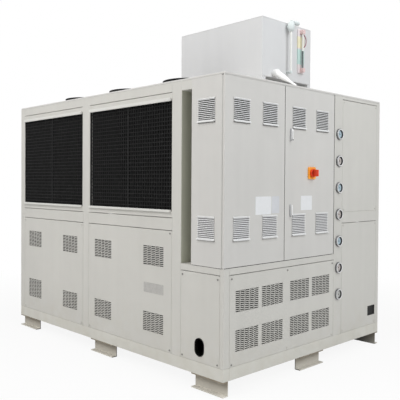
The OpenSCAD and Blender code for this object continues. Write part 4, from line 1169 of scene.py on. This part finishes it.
tube = rod("sight_glass_tube", 24, TUBE_R, BODY_LOW - tube_low,
           place(tube_x, TUBE_Y, (tube_low + BODY_LOW) / 2))
dish(tube, "-z", (TUBE_R * 0.25, 0, -0.006))
cuff = rod("cuff", 24, TUBE_R * CUFF_SHARE, CUFF_L, place(tube_x, TUBE_Y, ARM_Z))
round_edges(cuff, lambda c, d: abs(d.z) < 0.1, 0.002, 2)
join(coat(tube, tube_plastic), coat(cuff, fitting_plastic), union_arm("tube_arm", ARM_Z))
settle(tube, "housing", ["sight_tube"])
body_top = BODY_LOW + BODY_H
inlet = rod("fill_valve", 36, BODY_R * NECK_SHARE, BODY_H, place(tube_x, TUBE_Y, (BODY_LOW + body_top) / 2))
pick(inlet, "EDGE", lambda c, d: abs(d.z) > 0.9)
bpy.ops.mesh.subdivide(number_cuts=3)
pick(inlet, "VERT", lambda p: abs(p.z - place(0, 0, (BODY_LOW + body_top) / 2).z) < BODY_H * 0.3)
resize((1 / NECK_SHARE, 1 / NECK_SHARE, 1), place(tube_x, TUBE_Y, 0))
leave()
soften(inlet, 0.003)
mouth = rod("inlet_mouth", 32, INLET_R * 0.8, INLET_L, place(tube_x, TUBE_Y + INLET_L / 2, body_top), "y")
dish(mouth, "+y", (0.003, 0, -0.02))
ring = rod("mouth_collar", 32, INLET_R, MOUTH_L, place(tube_x, TUBE_Y + INLET_L - MOUTH_IN, body_top), "y",
           end_fill_type="NOTHING")
pick(ring, "EDGE", lambda c, d: abs(d.y) < 0.1)
push(0, 0, 0)
resize((MOUTH_SHARE, 1, MOUTH_SHARE), place(tube_x, 0, body_top))
leave()
soften(ring, 0.0015)
coat(join(inlet, mouth, ring), fitting_plastic)
join(inlet, union_arm("valve_arm", BODY_LOW + BODY_H / 2))
settle(inlet, "housing", ["fill_fitting"])


# Level gauge: a painted board on the tank's end with a yellow upper and a green lower field, a dark float
# rod between two pale red blocks, and a bent red tube at its upper side.
LEVEL_Y, LEVEL_W, LEVEL_T, LEVEL_LOW, LEVEL_TOP, GLASS_R = 1.120, 0.084, 0.008, 2.165, 2.515, 0.008
YELLOW_FIELD, GREEN_FIELD = (2.365, 2.455), (2.235, 2.355)
BOARD_PALE, BOARD_YELLOW, BOARD_GREEN = (((222, 212, 212), (230, 222, 222)),
                                         ((232, 224, 186), (238, 232, 204)),
                                         ((184, 216, 208), (202, 224, 218)))
BLOCK_H, LOOP_R, LOOP_WIRE, LOOP_SHARE = 0.032, 0.050, 0.0036, 0.8
LOOP_OUT, LOOP_SIDE, LOOP_Z = 0.006, 0.018, 2.425


def level_fields(name):
    """Board paint: pale, with a yellow and a green field and a little fading."""
    made, shader, spot = new_finish(name)
    height = spot.axis("Z")
    fade = spot.noise(26.0, 3.0)

    def field(bounds):
        low, high = (place(0, 0, bound).z for bound in bounds)
        return height.math("GREATER_THAN", height, low) * height.math("LESS_THAN", height, high)
    pale, yellow, green = (fade.mix(*(linear(tone) for tone in pair))
                           for pair in (BOARD_PALE, BOARD_YELLOW, BOARD_GREEN))
    feed(shader, Base_Color=field(GREEN_FIELD).mix(field(YELLOW_FIELD).mix(pale, yellow), green),
         Roughness=0.35 + 0.15 * fade, Normal=spot.noise(300.0).bumps(0.05, 0.0004))
    return made


board = slab("level_board", place(TANK_END, LEVEL_Y - LEVEL_W / 2, LEVEL_LOW),
             place(TANK_END + LEVEL_T, LEVEL_Y + LEVEL_W / 2, LEVEL_TOP))
round_corners(board, "x", 0.006, 3)
soften(board, 0.001)
coat(board, level_fields("level_fields"))
level_red = moulded_plastic("level_red", (226, 198, 196), 0.35)
loop_red = moulded_plastic("loop_red", (150, 84, 96), 0.35)
rod_dark = worn_black("float_rod", (84, 92, 92), (112, 120, 119), 0.3)
level_middle = (LEVEL_LOW + LEVEL_TOP) / 2
float_rod = rod("float_rod", 20, GLASS_R * 0.9, LEVEL_TOP - LEVEL_LOW - 4 * GLASS_R,
                place(TANK_END + LEVEL_T + 2 * GLASS_R, LEVEL_Y, level_middle))
pick(float_rod, "EDGE", lambda c, d: abs(d.z) > 0.9)
bpy.ops.mesh.subdivide(number_cuts=1)
leave()
coat(float_rod, tube_plastic, rod_dark)
tint(float_rod, 1, lambda c, n: c.z < place(0, 0, level_middle + 0.02).z)
parts = [float_rod]
for foot in (LEVEL_LOW + GLASS_R, LEVEL_TOP - 5 * GLASS_R):
    block = slab("end_block", place(TANK_END + LEVEL_T * 0.5, LEVEL_Y - 2 * GLASS_R, foot),
                 place(TANK_END + LEVEL_T + 4 * GLASS_R, LEVEL_Y + 2 * GLASS_R, foot + BLOCK_H))
    dish(block, "+x", (0.005, -0.002))
    soften(block, 0.003, 3)
    parts.append(coat(block, level_red))
loop = begin(bpy.ops.mesh.primitive_circle_add, "red_loop", vertices=10, radius=LOOP_WIRE,
             location=(0, 0, LOOP_R), rotation=(0, math.pi / 2, 0))
loop.data.transform(Matrix.Rotation(math.pi / 2, 4, "Z"))
pick(loop, "EDGE")
bpy.ops.mesh.spin(steps=20, angle=math.pi, center=(0, 0, 0), axis=(1, 0, 0))
leave()
loop.data.transform(shift(place(TANK_END + LEVEL_T + LOOP_OUT, LEVEL_Y + LOOP_SIDE, LOOP_Z))
                    @ Matrix.Diagonal((1, LOOP_SHARE, 1, 1)))
bpy.ops.object.mode_set(mode="EDIT")
bpy.ops.mesh.select_all(action="SELECT")
bpy.ops.mesh.remove_doubles(threshold=WELD_GAP)
bpy.ops.mesh.normals_make_consistent(inside=False)
leave()
parts.append(coat(loop, loop_red))
join(board, *parts)
settle(board, "housing", ["level_gauge"])


# Overflow pipe: a white plastic hose end that leaves a collar on the tank, slopes down and narrows to an
# open tip on the roof's edge.
PIPE_Y, PIPE_Z, PIPE_R, TIP_R = 0.795, 2.125, 0.025, 0.007
PIPE_END, COLLAR_R, COLLAR_L = 0.034, 0.028, 0.040
PIPE_WHITE = (244, 244, 243)
BULGE = ((0.1667, 1.08), (0.3333, 1.16), (0.5, 1.08), (0.6667, 0.78), (0.8333, 0.82))
slope = math.atan2(PIPE_Z - ROOF_Z - TIP_R, housing_l - PIPE_END - TANK_END - COLLAR_L / 2)
pipe_length = (PIPE_Z - ROOF_Z - TIP_R * math.cos(slope)) / math.sin(slope)
along = Vector((math.cos(slope), 0, -math.sin(slope)))
pipe_start = place(TANK_END + COLLAR_L / 2, PIPE_Y, PIPE_Z)
pipe = begin(bpy.ops.mesh.primitive_cone_add, "overflow_hose", vertices=28, radius1=PIPE_R, radius2=TIP_R,
             depth=pipe_length, location=pipe_start + along * pipe_length / 2,
             rotation=(0, math.pi / 2 + slope, 0))
pick(pipe, "EDGE", lambda c, d: abs(d.dot(along)) > 0.9)
bpy.ops.mesh.subdivide(number_cuts=5)
for share, grow in BULGE:
    middle = pipe_start + along * pipe_length * share
    pick(pipe, "VERT", lambda p: abs((p - middle).dot(along)) < pipe_length * 0.05)
    resize((grow, grow, grow), middle)
pick(pipe, "FACE", lambda c, n: n.dot(along) > 0.95 and (c - pipe_start).dot(along) > pipe_length * 0.95)
inset(TIP_R * 0.3)
push(*(along * -0.015))
leave()
collar = rod("hose_collar", 32, COLLAR_R, COLLAR_L, place(TANK_END + COLLAR_L / 2, PIPE_Y, PIPE_Z), "x")
dish(collar, "+x", (0.003,))
soften(collar, 0.003, 3)
coat(join(pipe, collar), moulded_plastic("pipe_white", PIPE_WHITE, 0.35))
settle(pipe, "housing", ["overflow_pipe"])


# Studio: a plain pale floor that fades into a white backdrop, a soft even sky and three large soft lamps.
# The camera stands at the near corner, a little below eye height.
FLOOR_SIZE = 60.0
SKY, SKY_LIGHT = (1.0, 1.0, 1.0, 1.0), 0.34
CAMERA_AT = (3.920, -3.695, 1.379)
CAMERA_YAW, CAMERA_PITCH, CAMERA_ROLL = 45.96, 0.87, 0.35
LENS, SENSOR, LENS_SHIFT = 52.84, 36.0, -0.0177
LAMPS = (("front_lamp", (0.0, -5.3, 5.5), (-0.3, 0.0, 1.8), 4.5, 246.0),
         ("end_lamp", (6.4, 0.2, 5.6), (0.3, 0.0, 1.8), 4.5, 274.0),
         ("roof_lamp", (0.2, 0.0, 6.5), (0.0, 0.0, 1.5), 7.0, 92.0))
COOL = (0.94, 0.968, 1.0)
SHADOW_REACH = (2.0, 4.5)
PAPER_DARK, PAPER_PALE = (0.72, 0.72, 0.71, 1), (0.76, 0.76, 0.75, 1)


def seen_by_eye(tree):
    """1 for what the camera sees, straight, in a mirror or through something clear, else 0."""
    ray, mirror, clear = (Shade(tree).node("LightPath", out="Is %s Ray" % kind)
                          for kind in ("Camera", "Glossy", "Transmission"))
    return ray.math("MAXIMUM", ray, mirror.math("MAXIMUM", mirror, clear))


floor = begin(bpy.ops.mesh.primitive_plane_add, "studio_floor", (FLOOR_SIZE / 2, FLOOR_SIZE / 2, 1))
pick(floor, "FACE")
bpy.ops.mesh.subdivide(number_cuts=3)
leave()
floor_white = bpy.data.materials.new("studio_white")
floor_white.use_nodes = True
tree = floor_white.node_tree
tree.nodes.clear()
where = Shade(tree).node("TexCoord", out="Object")
grain = where.noise(3.0)
away = where.node("VectorMath", {"operation": "LENGTH"}, {0: where}, out="Value").step(*SHADOW_REACH)
paper = Shade(tree).node("BsdfDiffuse", values={"Color": grain.mix(PAPER_DARK, PAPER_PALE)})
glow = Shade(tree).node("Emission", values={"Color": (1, 1, 1, 1), "Strength": 1.0})
sheet = Shade(tree).node("MixShader", values={0: seen_by_eye(tree) * (0.9 + 0.1 * away), 1: paper, 2: glow})
out = tree.nodes.new("ShaderNodeOutputMaterial")
tree.links.new(sheet.socket, out.inputs["Surface"])
coat(floor, floor_white)

world = bpy.data.worlds.new("studio_sky")
bpy.context.scene.world = world
world.use_nodes = True
tree = world.node_tree
sky = tree.nodes["Background"]
sky.inputs["Color"].default_value = SKY
tree.links.new((seen_by_eye(tree) * (1.0 - SKY_LIGHT) + SKY_LIGHT).socket, sky.inputs["Strength"])

for name, spot, target, size, power in LAMPS:
    lamp = bpy.data.lights.new(name, "AREA")
    lamp.shape, lamp.size, lamp.energy = "DISK", size, power
    lamp.color = COOL if name == "end_lamp" else (1, 1, 1)
    holder = bpy.data.objects.new(name, lamp)
    holder.location = spot
    holder.rotation_euler = (Vector(target) - Vector(spot)).to_track_quat("-Z", "Y").to_euler()
    bpy.context.collection.objects.link(holder)

yaw, pitch, roll = (math.radians(angle) for angle in (CAMERA_YAW, CAMERA_PITCH, CAMERA_ROLL))
ahead = Vector((-math.sin(yaw) * math.cos(pitch), math.cos(yaw) * math.cos(pitch), -math.sin(pitch)))
right = Vector((math.cos(yaw), math.sin(yaw), 0))
upward = right.cross(ahead)
turned = math.cos(roll) * right + math.sin(roll) * upward
raised = math.cos(roll) * upward - math.sin(roll) * right
lens = bpy.data.cameras.new("photo_camera")
lens.lens, lens.sensor_width, lens.sensor_fit = LENS, SENSOR, "HORIZONTAL"
lens.shift_y = LENS_SHIFT
camera = bpy.data.objects.new("photo_camera", lens)
camera.location = CAMERA_AT
camera.rotation_euler = Matrix((turned, raised, -ahead)).transposed().to_euler()
bpy.context.collection.objects.link(camera)
bpy.context.scene.camera = camera
bpy.context.scene.view_settings.view_transform = "Standard"
